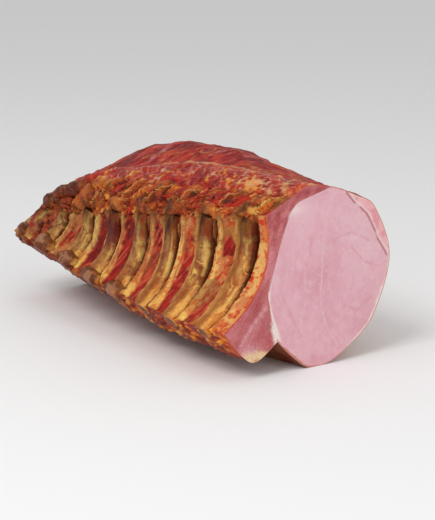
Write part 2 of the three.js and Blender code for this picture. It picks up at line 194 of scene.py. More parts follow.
# ---- noise ----------------------------------------------------------------------------
def noise(points, size, seed=0, stretch=(1, 1, 1)):
    """Smooth noise from -1 to 1, with lumps about size millimetres across."""
    p = points / (size * np.asarray(stretch, float))
    cell = np.floor(p).astype(np.int64)
    t = p - cell
    t = t * t * t * (t * (6 * t - 15) + 10)
    total = 0.0
    for dx in (0, 1):
        for dy in (0, 1):
            for dz in (0, 1):
                n = (cell[..., 0] + dx) * 73856093 ^ (cell[..., 1] + dy) * 19349663
                n = n ^ (cell[..., 2] + dz) * 83492791 ^ (seed + 1) * 26544357
                n = (n ^ (n >> 13)) * 1274126177 & 0x7FFFFFFF
                value = ((n ^ (n >> 16)) & 0xFFFF) / 32767.5 - 1
                weight = (t[..., 0] if dx else 1 - t[..., 0])
                weight = weight * (t[..., 1] if dy else 1 - t[..., 1])
                weight = weight * (t[..., 2] if dz else 1 - t[..., 2])
                total = total + weight * value
    return total


def fbm(points, size, seed=0, octaves=3, stretch=(1, 1, 1)):
    """Several sizes of noise together, about -1 to 1."""
    total, height, weight = 0.0, 1.0, 0.0
    for k in range(octaves):
        total = total + height * noise(points, size / 2**k, seed + 17 * k, stretch)
        weight += height
        height *= 0.6
    return total / weight * 1.5


def vein(points, size, seed=0, octaves=2, stretch=(1, 1, 1)):
    """Thin lines between lumps: 1 on a line, falling to 0 beside it."""
    return 1 - np.clip(np.abs(fbm(points, size, seed, octaves, stretch)) * 3, 0, 1)


def flat_place(*axes):
    """Points for noise that follows a surface, from coordinates along it."""
    shape = np.broadcast_shapes(*(np.shape(a) for a in axes))
    columns = [np.broadcast_to(a, shape) for a in axes]
    while len(columns) < 3:
        columns.append(np.zeros(shape))
    return np.stack(columns, axis=-1)


def slanted(first, second, slope):
    """Coordinates across and along lines that rise by slope in second for each step in first."""
    length = math.hypot(1, slope)
    return (first * slope - second) / length, (first + second * slope) / length


# ---- sections -------------------------------------------------------------------------
def landmark(name, runs):
    """Place (y, z) of a landmark at each run, by cubic curves that don't overshoot."""
    keys = np.asarray(LANDMARKS[name], float)
    at, place = keys[:, 0], keys[:, 1:]
    rise = np.diff(place, axis=0) / np.diff(at)[:, None]
    slope = np.vstack([rise[:1], rise])
    for j in range(1, len(at) - 1):
        before, after = at[j] - at[j - 1], at[j + 1] - at[j]
        even = (rise[j - 1] * after + rise[j] * before) / (before + after)
        slope[j] = np.where(rise[j - 1] * rise[j] <= 0, 0, even)
    run = np.clip(runs, at[0], at[-1])
    j = np.clip(np.searchsorted(at, run, side="right") - 1, 0, len(at) - 2)
    span = (at[j + 1] - at[j])[..., None]
    t = (run - at[j])[..., None] / span
    start = (2 * t**3 - 3 * t * t + 1) * place[j] + (t**3 - 2 * t * t + t) * span * slope[j]
    end = (3 * t * t - 2 * t**3) * place[j + 1] + (t**3 - t * t) * span * slope[j + 1]
    return start + end


FINE_STEPS = 16


def spline_rows(names, runs, splits, level=None):
    """A smooth curve through the landmarks at each run, as equal steps between given corners.
    splits holds (first corner, last corner, steps). Its start or end runs level where level says so."""
    corners = np.stack([landmark(n, runs) for n in names], axis=1)
    count = len(names)
    mirrored = lambda end, inner: np.stack([2 * end[:, 0] - inner[:, 0], inner[:, 1]], axis=-1)[:, None]
    start = mirrored(corners[:, 0], corners[:, 1]) if level == "start" else corners[:, :1]
    end = mirrored(corners[:, -1], corners[:, -2]) if level == "end" else corners[:, -1:]
    padded = np.concatenate([start, corners, end], axis=1)
    t = np.arange((count - 1) * FINE_STEPS + 1) / FINE_STEPS
    j = np.minimum(t.astype(int), count - 2)
    u = (t - j)[None, :, None]
    before, here, there, after = (padded[:, j + k] for k in range(4))
    leave, reach = (there - before) / 2, (after - here) / 2
    curve = (2 * here - 2 * there + leave + reach) * u**3
    curve = curve + (3 * there - 3 * here - 2 * leave - reach) * u**2 + leave * u + here
    rows = []
    for points in curve:
        row = [points[:1]]
        for first, last, steps in splits:
            part = points[int(first * FINE_STEPS) : int(last * FINE_STEPS) + 1]
            row.append(equal_steps(part, steps)[1:])
        rows.append(np.vstack(row))
    return np.array(rows)


def line_reach(points):
    """Distance travelled along a line of points, at each point."""
    return np.r_[0, np.cumsum(np.linalg.norm(np.diff(points, axis=0), axis=1))]


def equal_steps(points, steps, shares=(0, 1)):
    """Points at equal steps along a line, between two shares of its length."""
    length = line_reach(points)
    want = np.linspace(shares[0] * length[-1], shares[1] * length[-1], steps + 1)
    return np.stack([np.interp(want, length, points[:, k]) for k in (0, 1)], axis=1)


def wall_rows(runs, v):
    """The concave inner wall; v runs from the backbone (0) to the lip (1)."""
    high, low = landmark("chine_low", runs), landmark("rib_lip", runs)
    flat = smooth(150, 210, runs)
    power = 3 - 2 * flat
    hollow = 3.8 * np.maximum(1 - runs / 110, 0.25) * (1 - flat) * (0.7 + 0.3 * np.clip(runs / 30, 0, 1))
    y = high[..., 0] + (low[..., 0] - high[..., 0]) * v**power + hollow * 4 * v * (1 - v)
    z = high[..., 1] + (low[..., 1] - high[..., 1]) * v
    return np.stack([y, z], axis=-1)


def rib_nearness(runs):
    return 0.5 + 0.5 * np.cos((runs - FIRST_RIB - RIB_LEAN) / RIB_PITCH * 2 * np.pi)


def flap_rows(runs, steps_edge, steps_under):
    """Lower edge of the rib flap from the lip to the notch, scalloped at the rib ends."""
    push = SCALLOP / math.sqrt(2) * (rib_nearness(runs) - 0.5) * np.clip(runs / 20, 0, 1)
    names = ["rib_lip", "rib_edge", "flap_low", "notch"]
    rows = spline_rows(names, runs, [(0, 1, steps_edge), (1, 3, steps_under)])
    share = np.r_[np.linspace(0, 1, steps_edge + 1), np.linspace(1, 0, steps_under + 1)[1:]]
    return rows - push[:, None, None] * share[None, :, None]


def in_space(rows, runs):
    """(y, z) sections at each run as x, y, z points."""
    x = np.broadcast_to(-np.asarray(runs, float)[:, None], rows.shape[:2])
    return np.concatenate([x[..., None], rows], axis=-1)


def grid_normals(points, closed=True):
    """Outward normals of a grid of rings."""
    along = np.gradient(points, axis=0)
    if closed:
        around = (np.roll(points, -1, axis=1) - np.roll(points, 1, axis=1)) / 2
    else:
        around = np.gradient(points, axis=1)
    n = np.cross(around, along)
    n = n / np.maximum(np.linalg.norm(n, axis=-1, keepdims=True), 1e-9)
    middle = points.mean(axis=(0, 1))
    facing = np.sum(n * (points - middle)) < 0
    return -n if facing else n


# ---- meshes ---------------------------------------------------------------------------
class Shell:
    """Grids of points with colour and roughness, joined into one closed mesh."""

    def __init__(self):
        self.points, self.faces, self.paint = [], [], []
        self.count = 0

    def grid(self, points, color, rough, closed=False):
        rows, columns = points.shape[:2]
        index = np.arange(rows * columns).reshape(rows, columns) + self.count
        if closed:
            index = np.concatenate([index, index[:, :1]], axis=1)
        a, b = index[:-1, :-1], index[:-1, 1:]
        c, d = index[1:, 1:], index[1:, :-1]
        corners = np.concatenate([np.stack([a, b, c], -1), np.stack([a, c, d], -1)])
        self.faces.append(corners.reshape(-1, 3))
        self.points.append(points.reshape(-1, 3))
        color = np.broadcast_to(color, points.shape).reshape(-1, 3)
        rough = np.broadcast_to(rough, points.shape[:2]).reshape(-1, 1)
        self.paint.append(np.concatenate([color, rough], axis=1))
        self.count += rows * columns

    def lid(self, ring, middle, rings, painter, power=1.0):
        """A flat or domed end inside a closed ring of points."""
        share = np.linspace(1, 0, rings + 1) ** power
        points = middle + (ring[None] - middle) * share[:, None, None]
        color, rough = painter(points)
        self.grid(points, color, rough, closed=True)

    def web(self, first, second, steps, painter):
        """A flat end between two lines of as many points."""
        share = np.linspace(0, 1, steps + 1)[:, None, None]
        points = first[None] * (1 - share) + second[None] * share
        color, rough = painter(points)
        self.grid(points, color, rough)

    def build(self, name, material, sharp_angle=50):
        points = np.vstack(self.points)
        faces = np.vstack(self.faces)
        paint = np.vstack(self.paint)
        keys = np.round(points, 3)
        _, first, merged = np.unique(keys, axis=0, return_index=True, return_inverse=True)
        merged = merged.reshape(-1)
        welded = merged[faces]
        a, b, c = welded.T
        good = (a != b) & (b != c) & (c != a)
        faces, welded = faces[good], welded[good]
        places = points[first]
        p, q, r = (places[welded[:, k]] for k in range(3))
        if np.einsum("ij,ij->", p, np.cross(q, r)) < 0:
            faces, welded = faces[:, ::-1], welded[:, ::-1]
        shift = np.array([LOIN_LENGTH / 2, Y_TO_MIDDLE, 0])
        mesh = bpy.data.meshes.new(name)
        mesh.vertices.add(len(places))
        mesh.vertices.foreach_set("co", ((places + shift) / 1000).astype(np.float32).ravel())
        mesh.loops.add(len(welded) * 3)
        mesh.loops.foreach_set("vertex_index", welded.astype(np.int32).ravel())
        mesh.polygons.add(len(welded))
        mesh.polygons.foreach_set("loop_start", np.arange(0, len(welded) * 3, 3, dtype=np.int32))
        mesh.polygons.foreach_set("use_smooth", np.ones(len(welded), bool))
        mesh.update(calc_edges=True)
        layer = mesh.color_attributes.new("paint", "FLOAT_COLOR", "CORNER")
        layer.data.foreach_set("color", paint[faces].astype(np.float32).ravel())
        mesh.set_sharp_from_angle(angle=math.radians(sharp_angle))
        mesh.materials.append(material)
        piece = bpy.data.objects.new(name, mesh)
        bpy.context.scene.collection.objects.link(piece)
        return piece


# ---- materials ------------------------------------------------------------------------
BLOTCH_TO_GRAIN = 5
UNEVEN_GLOSS = 0.08


def add_node(tree, kind, inputs, **settings):
    """A new node with its settings; each input is a number, a list or another node's output."""
    node = tree.nodes.new(kind)
    for name, value in settings.items():
        setattr(node, name, value)
    for name, value in inputs.items():
        if isinstance(value, bpy.types.NodeSocket):
            tree.links.new(value, node.inputs[name])
        else:
            node.inputs[name].default_value = value
    return node


def noise_texture(tree, place, size, detail):
    """Noise with lumps about size millimetres across."""
    inputs = {"Vector": place, "Scale": 1000 / size, "Detail": detail}
    return add_node(tree, "ShaderNodeTexNoise", inputs).outputs["Fac"]


def spread(tree, value, from_low, from_high, to_low, to_high):
    """A value moved from one range to another."""
    inputs = {"Value": value, "From Min": from_low, "From Max": from_high}
    inputs.update({"To Min": to_low, "To Max": to_high})
    return add_node(tree, "ShaderNodeMapRange", inputs).outputs["Result"]


def meat_material(name, grain_size, grain_depth, fibre, tint, soft, gloss):
    """Painted colour with fine uneven tone, fine relief, and a gloss that varies. Sizes are in
    millimetres; fibre stretches the grain along an axis."""
    material = bpy.data.materials.new(name)
    material.use_nodes = True
    tree = material.node_tree
    shader = tree.nodes["Principled BSDF"]
    paint = add_node(tree, "ShaderNodeAttribute", {}, attribute_name="paint")
    place = add_node(tree, "ShaderNodeTexCoord", {}).outputs["Object"]
    stretch = {"Vector": place, "Scale": [1 / f for f in fibre]}
    place = add_node(tree, "ShaderNodeMapping", stretch).outputs["Vector"]
    grain = noise_texture(tree, place, grain_size, 3)
    blotch = noise_texture(tree, place, grain_size * BLOTCH_TO_GRAIN, 2)

    tone = {0: paint.outputs["Color"], "Scale": spread(tree, grain, 0.3, 0.7, 1 - tint, 1 + tint)}
    tinted = add_node(tree, "ShaderNodeVectorMath", tone, operation="SCALE")
    uneven = {0: paint.outputs["Alpha"], 1: spread(tree, blotch, 0.35, 0.65, -UNEVEN_GLOSS, UNEVEN_GLOSS)}
    rough = add_node(tree, "ShaderNodeMath", uneven, operation="ADD")
    height = {"Strength": 0.6, "Distance": grain_depth / 1000, "Height": grain}
    relief = add_node(tree, "ShaderNodeBump", height)
    tree.links.new(tinted.outputs["Vector"], shader.inputs["Base Color"])
    tree.links.new(rough.outputs["Value"], shader.inputs["Roughness"])
    tree.links.new(relief.outputs["Normal"], shader.inputs["Normal"])
    shader.inputs["Subsurface Weight"].default_value = soft
    shader.inputs["Subsurface Radius"].default_value = (1.0, 0.35, 0.2)
    shader.inputs["Subsurface Scale"].default_value = 0.004
    shader.inputs["Specular IOR Level"].default_value = gloss
    return material


# ---- looks that several pieces share --------------------------------------------------
def fresh(run):
    """The wall is a little brighter near the fresh cut and darker further back."""
    return np.interp(run, [0, 80, LOIN_LENGTH], [1.17, 1.02, 0.93])[..., None]


def weathered_with_pit_shade(run, down, color, rise):
    """The far end is knobblier and patchier: brown beside paler crusts, and sunken pits darkened with
    painted shade.
    """
    far = smooth(125, 190, run)
    place = flat_place(run, down)
    patch = fbm(place, 12, 301, 3, (1, 1.3, 1))
    fine = fbm(place, 4, 302)
    color = layered(
        color,
        (mix(BROWN, RED, 0.3), far * smooth(0.1, 0.6, patch + 0.3 * fine) * 0.7),
        (mix(CREAM, OCHRE, 0.4), far * smooth(0.25, 0.7, 0.4 * fine - patch) * 0.65),
        (mix(CREAM, MOSS, 0.3), smooth(211, 219, run + 3 * fine) * 0.7),
        (UMBER, far * smooth(0.35, 0.7, fine - 0.2 * patch) * 0.8),
    )
    back = run + 0.5 * down - 5
    flesh = bump(back + 2 * fine, 210, 5.5) * bump(down + 2 * patch, 10, 9)
    color = mix(color, mix(CRIMSON, RED, smooth(-0.3, 0.4, fine)), smooth(0.15, 0.5, flesh) * 0.85)
    # Painted shade: near-black colour laid into the sunken pits.
    pit = smooth(0.1, 0.6, bump(back + 2 * patch, 200, 3.2) * bump(down + 3 * fine, 12, 7))
    color = mix(color, mix(UMBER, MAROON, 0.4), pit * 0.9)
    return color, rise + far * (1.5 * patch - 0.8 * fine) - 1.2 * pit


def lip_lumps(run, above, color, rise):
    """Glossy brown lumps that close over the rib ends further back, above the lip by so much. Each has a
    painted highlight at its middle, and painted shade towards its edge and round it.
    """
    place = flat_place(run, above)
    lump = fbm(place, 7, 311)
    fine = fbm(place, 3, 312)
    first = FIRST_RIB + RIB_LEAN
    beside = run - first - RIB_PITCH * np.round((run - first) / RIB_PITCH) + 2.0 * lump
    over = above - 3.0 * smooth(110, 160, run) + 1.2 * lump
    half_long = 9.5 - 4.5 * smooth(196, 204, run)
    reach = (beside / half_long) ** 2 + (over / 5.0) ** 2
    body = smooth(1.15, 0.8, reach) * smooth(88, 104, run)
    paint = mix(mix(BROWN, AMBER, 0.35), PLUM, smooth(-0.4, 0.3, fine))
    # Painted highlight: paler mauve-cream at the middle of each lump.
    paint = mix(paint, mix(MAUVE, CREAM, 0.2), smooth(0.5, 0.0, reach + 0.5 * fine) * 0.75)
    # Painted shade: darker towards each lump's edge.
    paint = mix(paint, UMBER, smooth(0.75, 1.1, reach) * 0.7)
    # Painted shade in the dent round each lump, which is also sunk in the relief.
    crease = bump(reach, 1.3, 0.35) * smooth(88, 104, run)
    color = mix(mix(color, paint, body * 0.92), UMBER, crease * 0.6)
    return color, rise * (1 - 0.7 * body) + body * 2.8 * np.sqrt(np.clip(1.2 - reach, 0, 1)) - 0.8 * crease


# ---- the sawn backbone strip ----------------------------------------------------------
# Sawn leaf-shaped plates: run, place up the strip, half length, half width, and the angle
# from the loin's length, in millimetres and degrees.
LEAVES = [
    (3.5, 5.0, 11.5, 4.2, 78),
    (33.9, 4.4, 6.2, 2.6, 70),
    (62.5, 2.5, 5.6, 2.3, 58),
    (86.0, 3.0, 8.8, 2.7, 46),
    (111.0, 4.6, 9.2, 2.8, 43),
    (139.0, 4.5, 5.2, 2.0, 40),
]
LEAF_AT_CUT = 12.0  # a leaf that starts nearer the cut than this is fresh and golden
# Rounded knobs: run, place up the strip, half length, half height, rise, and kind.
KNOBS = [
    (9.0, -6.0, 5.2, 2.2, 1.2, "fat"),
    (19.0, -5.0, 6.5, 4.5, 1.8, "bone"),
    (40.0, -5.6, 5.5, 2.8, 1.6, "orange"),
    (66.5, -5.2, 8.5, 4.6, 2.2, "bone"),
    (94.0, -5.2, 8.5, 4.6, 2.2, "bone"),
    (122.0, -5.0, 7.5, 4.2, 1.8, "orange"),
    (160.0, -1.0, 10.5, 7.0, 2.2, "orange"),
    (141.0, 9.0, 15.0, 4.0, 1.6, "orange"),
    (176.0, 5.5, 8.0, 4.4, 2.8, "plum"),
    (190.0, 3.0, 8.0, 5.0, 2.6, "plum"),
    (204.0, 1.0, 6.0, 4.0, 1.2, "plum"),
]
KNOB_COLORS = {
    "fat": mix(YELLOW, CREAM, 0.4),
    "bone": mix(BROWN, AMBER, 0.35),
    "orange": AMBER,
    "plum": PLUM,
}


def knob_shade(kind, n1, n2, n3):
    plum = kind == "plum"
    shade = mix(KNOB_COLORS[kind], UMBER, smooth(0.0, 0.8, -n2) * 0.6)
    shade = mix(shade, mix(SCARLET, ORANGE, 0.4), smooth(0.2, 0.8, n3 - 0.3 * n1) * (0.1 if plum else 0.5))
    return mix(shade, MAUVE if plum else OCHRE, smooth(0.1, 0.8, n2 + 0.4 * n1) * 0.45)


def add_knobs(run, w, grains, color, rise):
    """Rounded knobs with a dark crease of painted shade round them, also sunk in the relief. grains holds
    three sizes of noise.
    """
    for at_run, at_w, half_long, half_high, lift, kind in KNOBS:
        reach = ((run - at_run) / half_long) ** 2 + ((w - at_w) / half_high) ** 2
        body = smooth(1.25, 0.55, reach)
        # Painted shade in the crease round each knob.
        crease = bump(reach, 1.35, 0.4) * smooth(0.4, -0.4, grains[0])
        color = mix(color, knob_shade(kind, *grains), body * 0.92)
        color = mix(color, UMBER, crease * 0.6)
        rise = rise * (1 - 0.6 * body) + lift * np.sqrt(np.clip(1.2 - reach, 0, 1))
        rise = rise - 0.6 * bump(reach, 1.4, 0.4)
    return color, rise


def leaf_filling(along, beside, half_wide, near_cut, grains):
    """Colour inside a leaf-shaped plate; the one at the cut is golden with brown marrow."""
    n1, n2, n3 = grains
    filling = mix(mix(UMBER, BROWN, 0.4), mix(AMBER, RED, 0.5), smooth(-0.2, 0.7, n1 + 0.5 * n2))
    if near_cut:
        filling = mix(filling, mix(OCHRE, ORANGE, smooth(-0.3, 0.3, n1)), smooth(0.7, 0.1, n2) * 0.85)
    filling = mix(filling, mix(BROWN, RED, 0.4), smooth(0.2, 0.6, n3 + 0.6 * n2) * 0.7)
    filling = mix(filling, UMBER, smooth(half_wide * 0.2, half_wide * 0.9, -beside) * 0.7)
    if near_cut:
        marrow = smooth(1.0, 0.4, ((along + 2.5) / 4.5) ** 2 + (beside / 1.8) ** 2 + 0.8 * n3)
        filling = mix(filling, mix(UMBER, BROWN, 0.6), marrow * 0.8)
    return filling


def add_leaves(run, w, grains, color, rise):
    """Leaf-shaped plates: sunken, with a pale raised rim."""
    for at_run, at_w, half_long, half_wide, angle in LEAVES:
        turn = math.radians(angle)
        x, y = at_run - run, w - at_w
        along = x * math.cos(turn) + y * math.sin(turn)
        beside = y * math.cos(turn) - x * math.sin(turn)
        room = np.sqrt(np.clip(1 - (along / half_long) ** 2, 0, 1))
        edge = np.abs(beside) - half_wide * room + 4 * np.maximum(np.abs(along) / half_long - 1, 0)
        inside = smooth(0.2, -0.6, edge)
        rim = bump(edge, 0.3, 0.55) * smooth(-0.5, 0.3, grains[0] + 0.3 + 0.8 * beside / half_wide)
        near_cut = at_run < LEAF_AT_CUT
        rim_color = BUTTER if near_cut else mix(CREAM, ORANGE, 0.25)
        color = mix(color, leaf_filling(along, beside, half_wide, near_cut, grains), inside * 0.95)
        color = mix(color, rim_color, rim * 0.85)
        rise = rise * (1 - 0.8 * inside) + 0.5 * rim - 1.0 * inside
    return color, rise


def chine_look(run, w):
    """Rise, colour and roughness of the sawn backbone, w millimetres up the strip from its middle."""
    place = flat_place(run, w)
    grains = n1, n2, n3 = fbm(place, 8, 201), fbm(place, 3.4, 202, 3), fbm(place, 1.7, 203, 2)
    cracks = vein(place, 6, 204)
    slant_across, slant_along = slanted(run, -w, 1.2)
    fine_lines = vein(flat_place(slant_across, slant_along), 4.2, 207, 2, (1, 4, 1))
    color = mix(mix(RED, BROWN, 0.2 + 0.3 * smooth(60, 150, run)), AMBER, smooth(-0.1, 0.7, n1) * 0.85)
    color = layered(
        color,
        (SCARLET, smooth(0.1, 0.6, -n1) * 0.6),
        (mix(BROWN, AMBER, 0.3), smooth(110, 170, run) * 0.6),
        (ORANGE, smooth(0.25, 0.7, n2) * 0.8),
        (mix(YELLOW, CREAM, 0.4), smooth(0.65, 1.0, n2 + 0.3 * n3) * 0.8),
        (UMBER, smooth(0.55, 1.0, cracks) * 0.8),
        (mix(CREAM, ORANGE, 0.25), smooth(0.72, 1.0, fine_lines) * smooth(-0.6, 0.1, n1) * 0.85),
        (UMBER, smooth(0.35, 0.8, -n2) * 0.6),
    )
    rise = 1.1 * n1 + 0.25 * n2 - 1.5 * smooth(0.6, 1.0, cracks) + 0.5 * smooth(0.6, 1.0, fine_lines)
    warped_run, warped_w = run + 1.3 * noise(place, 6, 205), w + 0.9 * noise(place, 5, 206)
    color, rise = add_knobs(warped_run, warped_w, grains, color, rise)
    color, rise = add_leaves(warped_run, warped_w, grains, color, rise)
    _, rise = weathered_with_pit_shade(run, 40 - w, color, rise)
    # Painted shade: dark tongues over the ribs, where the strip hangs over them.
    past = run - FIRST_RIB - 3.5 - 0.5 * (w + 8) + 1.5 * n1
    past = past - RIB_PITCH * np.round(past / RIB_PITCH)
    overhang_shade = bump(past, 0, 7.5) * smooth(-2.0, -6.0, w + 2.0 * n2) * smooth(8, 20, run)
    color = mix(color, mix(UMBER, mix(BROWN, OLIVE, 0.3), smooth(-0.6, 0.2, n2)), overhang_shade * 0.75)
    return rise - 1.0 * overhang_shade, color, np.clip(0.42 + 0.06 * n1, 0.3, 0.6)


# ---- the rib-side meat ----------------------------------------------------------------
TOP_STEPS, CHINE_STEPS, WALL_STEPS = 76, 34, 98
EDGE_STEPS, UNDER_STEPS, SEAM_STEPS = 22, 12, 40
RIB_MEAT_ROWS = 300
NEAR_WEB_STEPS, FAR_WEB_STEPS = 24, 6
# Share of the seam that each corner of the cut face looks across to.
WEB_CORNERS = np.array([0, 0.42, 0.86, 1])


def ring_zones(*steps):
    """Slices of a ring of points that is made of lines of so many steps."""
    ends = np.cumsum((0, *steps))
    return [slice(a, b) for a, b in zip(ends[:-1], ends[1:])]


ZONES = ring_zones(TOP_STEPS, CHINE_STEPS, WALL_STEPS, EDGE_STEPS, UNDER_STEPS, SEAM_STEPS)
TOP, CHINE, WALL, EDGE, UNDERSIDE, INNER = ZONES

# Where the bands between two ribs start, in millimetres past a rib's middle.
BANDS_FROM = -5.2
LIGHT_LINE = 6.7
RED_FROM = 7.2
STRIP_FROM = 16.2
STRIP_TO = 19.8


def wall_bands(run, v, depth):
    """Bands of the rib wall: shares of light line, red meat, pale strip, dark line and hollow. The dark
    line in the groove beside each rib and the hollow at each rib's head are painted shade. depth is the
    distance down the wall in millimetres."""
    place = flat_place(run, depth)
    wander = 0.55 * noise(place, 11, 3) + 0.35 * noise(place, 4, 4)
    past = run - FIRST_RIB - RIB_LEAN * v + wander
    index = np.floor((past - BANDS_FROM) / RIB_PITCH)
    past = past - index * RIB_PITCH
    vary = np.sin(index * 2.4 + 1.0)
    near = smooth(2.6, 0.8, index)
    strip_to = STRIP_TO + 0.8 * smooth(1.5, 3.5, index) + 0.8 * smooth(0.5, 0.9, v)
    strip_from = STRIP_FROM + 0.7 * vary - 2.2 * smooth(0.7, 1.0, v) - 1.6 * near * bump(v, 0.5, 0.5)
    strip = smooth(strip_from - 0.4, strip_from + 0.5, past) * smooth(strip_to + 0.5, strip_to - 0.3, past)
    # Painted shade: the dark line down the groove beside each rib.
    dark = smooth(strip_to - 0.2, strip_to + 0.5, past) * smooth(22.6, 21.8, past) * smooth(0.98, 0.85, v)
    light = bump(past, LIGHT_LINE, 1.0)
    red = smooth(RED_FROM - 0.5, RED_FROM + 0.4, past) * smooth(strip_from + 0.5, strip_from - 0.4, past)
    patches = fbm(place, 13, 5) + 0.5 * bump(v, 0.35, 0.3) + 0.8 * smooth(0.6, 0.9, v) - 0.1
    patchy = smooth(0.0, 0.45, patches)
    flesh = red * near * (1 - patchy)
    arch = smooth(0.02, 0.1, v + 0.03 * wander - 0.14 * near - 0.004 * (past - 12) ** 2 * (v < 0.4))
    red = red * arch
    # The hollow at the top of each rib: sunk in the relief and darkened with painted shade.
    hollow = bump(past, 2.4 - 0.1 * depth, 7.6) * smooth(17, 5, depth + 2.0 * vary + 3.5 * wander)
    across, along = slanted(past, depth, 1.5)
    fibre = noise(flat_place(across, along, index * 13), 1.25, 8, (1, 7, 1))
    stripe = noise(flat_place(past + index * 40, depth), 0.9, 9, (1, 12, 1))
    return {"strip": strip, "dark": dark, "light": light, "red": red, "flesh": flesh, "hollow": hollow,
            "past": past, "index": index, "fibre": fibre, "stripe": stripe, "place": place}


def wall_relief(bands, v):
    profile = np.clip(1 - ((bands["past"] - 18) / 2.8) ** 2, 0, 1)
    rise = 0.5 * bands["strip"] + 0.5 * profile * bands["strip"] + 0.3 * bands["light"]
    rise = rise - 1.8 * bands["dark"] - 0.2 * bands["red"] - 1.6 * bands["hollow"]
    rise = rise + bands["red"] * 0.4 * bands["fibre"] + bands["strip"] * 0.3 * bands["stripe"]
    return rise + 0.35 * fbm(bands["place"], 6, 10) * smooth(0, 0.1, v)


def wall_red(bands, v, n1, n2):
    """Fibrous red meat between the ribs."""
    fibre = bands["fibre"]
    return layered(
        mix(CRIMSON, RED, smooth(-0.4, 0.5, n1 + 0.7 * v - 0.2)),
        (SCARLET, smooth(0.2, 0.7, n2) * 0.3),
        (mix(ROSE, PEACH, 0.3), smooth(0.15, 0.6, fibre + 0.3 * n2) * 0.75),
        (CRIMSON, smooth(0.15, 0.7, -fibre) * 0.6),
        (MAROON, smooth(0.1, 0.6, -n2) * smooth(0.9, 0.5, v) * 0.65),
    )


def wall_strip(bands, v, n2, n3):
    """Pale skin beside each rib: yellower towards the lip, blotched with red near the cut."""
    stripe = bands["stripe"]
    vary = np.sin(bands["index"] * 1.9 + 0.4)
    few = smooth(3.5, 1.5, bands["index"])
    return layered(
        mix(PEACH, mix(CREAM, BUTTER, 0.35), smooth(-0.3, 0.5, stripe + 0.4 * n2 + 0.3 * vary)),
        (mix(TAN, RED, 0.4), smooth(0.1, 0.6, -stripe - 0.4 * n3) * 0.65),
        (mix(SCARLET, ORANGE, 0.3), smooth(0.2, 0.5, n3 + 0.4 * n2) * few * 0.75),
        (MOSS, smooth(0.4, 0.08, v) * 0.4),
        (mix(YELLOW, CREAM, 0.5), smooth(0.72, 0.92, v + 0.05 * n2) * 0.9),
        (BUTTER, smooth(0.8, 0.95, v) * smooth(0.0, 0.5, n2) * 0.8),
        (mix(ORANGE, BROWN, 0.2), smooth(0.0, 0.5, -n2 + 0.4 * n3) * smooth(0.6, 0.85, v) * 0.65),
        (CREAM, bump(bands["past"], 16.6, 0.9) * smooth(-0.4, 0.3, n2) * 0.7),
    )


def paint_wall(bands, v, run):
    place = bands["place"]
    n1 = fbm(place, 9, 21)
    n2 = fbm(place, 3, 22)
    n3 = fbm(place, 1.5, 23, 2)
    flesh = mix(PEACH, mix(RED, ORANGE, 0.3), smooth(-0.3, 0.3, n2 + 0.5 * bands["fibre"]))
    flesh = mix(flesh, CREAM, smooth(0.3, 0.8, n3) * 0.5)
    # Painted shade for the hollows at the rib heads: olive brown to near black.
    hollow = mix(UMBER, mix(BROWN, OLIVE, 0.4), smooth(-0.5, 0.6, n1 + 0.6 * n2))
    stain = smooth(0.2, 0.75, fbm(place, 20, 24) + 0.3 * n2) * smooth(0.98, 0.8, v)
    blobs = mix(CREAM, PEACH, smooth(-0.3, 0.4, n1))
    blobs = mix(blobs, mix(SCARLET, RED, 0.4), smooth(0.05, 0.45, n2 + 0.4 * n3))
    far = smooth(4.5, 6.5, bands["index"])
    cut = (bands["index"] < 0) * smooth(20.4, 19.6, bands["past"])
    color = layered(
        mix(TAN, OCHRE, 0.4 + 0.5 * n1),
        (wall_red(bands, v, n1, n2), bands["red"]),
        (flesh, bands["flesh"]),
        (wall_strip(bands, v, n2, n3), bands["strip"]),
        (CREAM, bands["light"] * smooth(-0.5, 0.3, n2) * 0.75),
        # Painted shade down the groove beside each rib.
        (MAROON, bands["dark"] * 0.92),
        (mix(AMBER, BROWN, smooth(-0.3, 0.4, n2)), far * smooth(-0.2, 0.5, n1) * 0.6),
        (hollow, bands["hollow"] * 0.95),
        # Painted shade along the top of the wall, under the backbone strip.
        (BROWN, smooth(0.1, 0.0, v + 0.03 * n1) * 0.6),
        (MAROON, smooth(0.93, 1.0, v + 0.05 * n2) * (1 - bands["strip"]) * 0.5),
        (mix(MAROON, BROWN, 0.5), stain * 0.45),
        (blobs, cut * 0.85),
        (ORANGE, smooth(1.3, 0.4, run + 0.6 * n3) * 0.7),
    )
    rough = 0.4 + 0.05 * n2 + 0.1 * bands["red"] + 0.3 * bands["hollow"]
    return color * fresh(run), np.clip(rough, 0.28, 0.75)


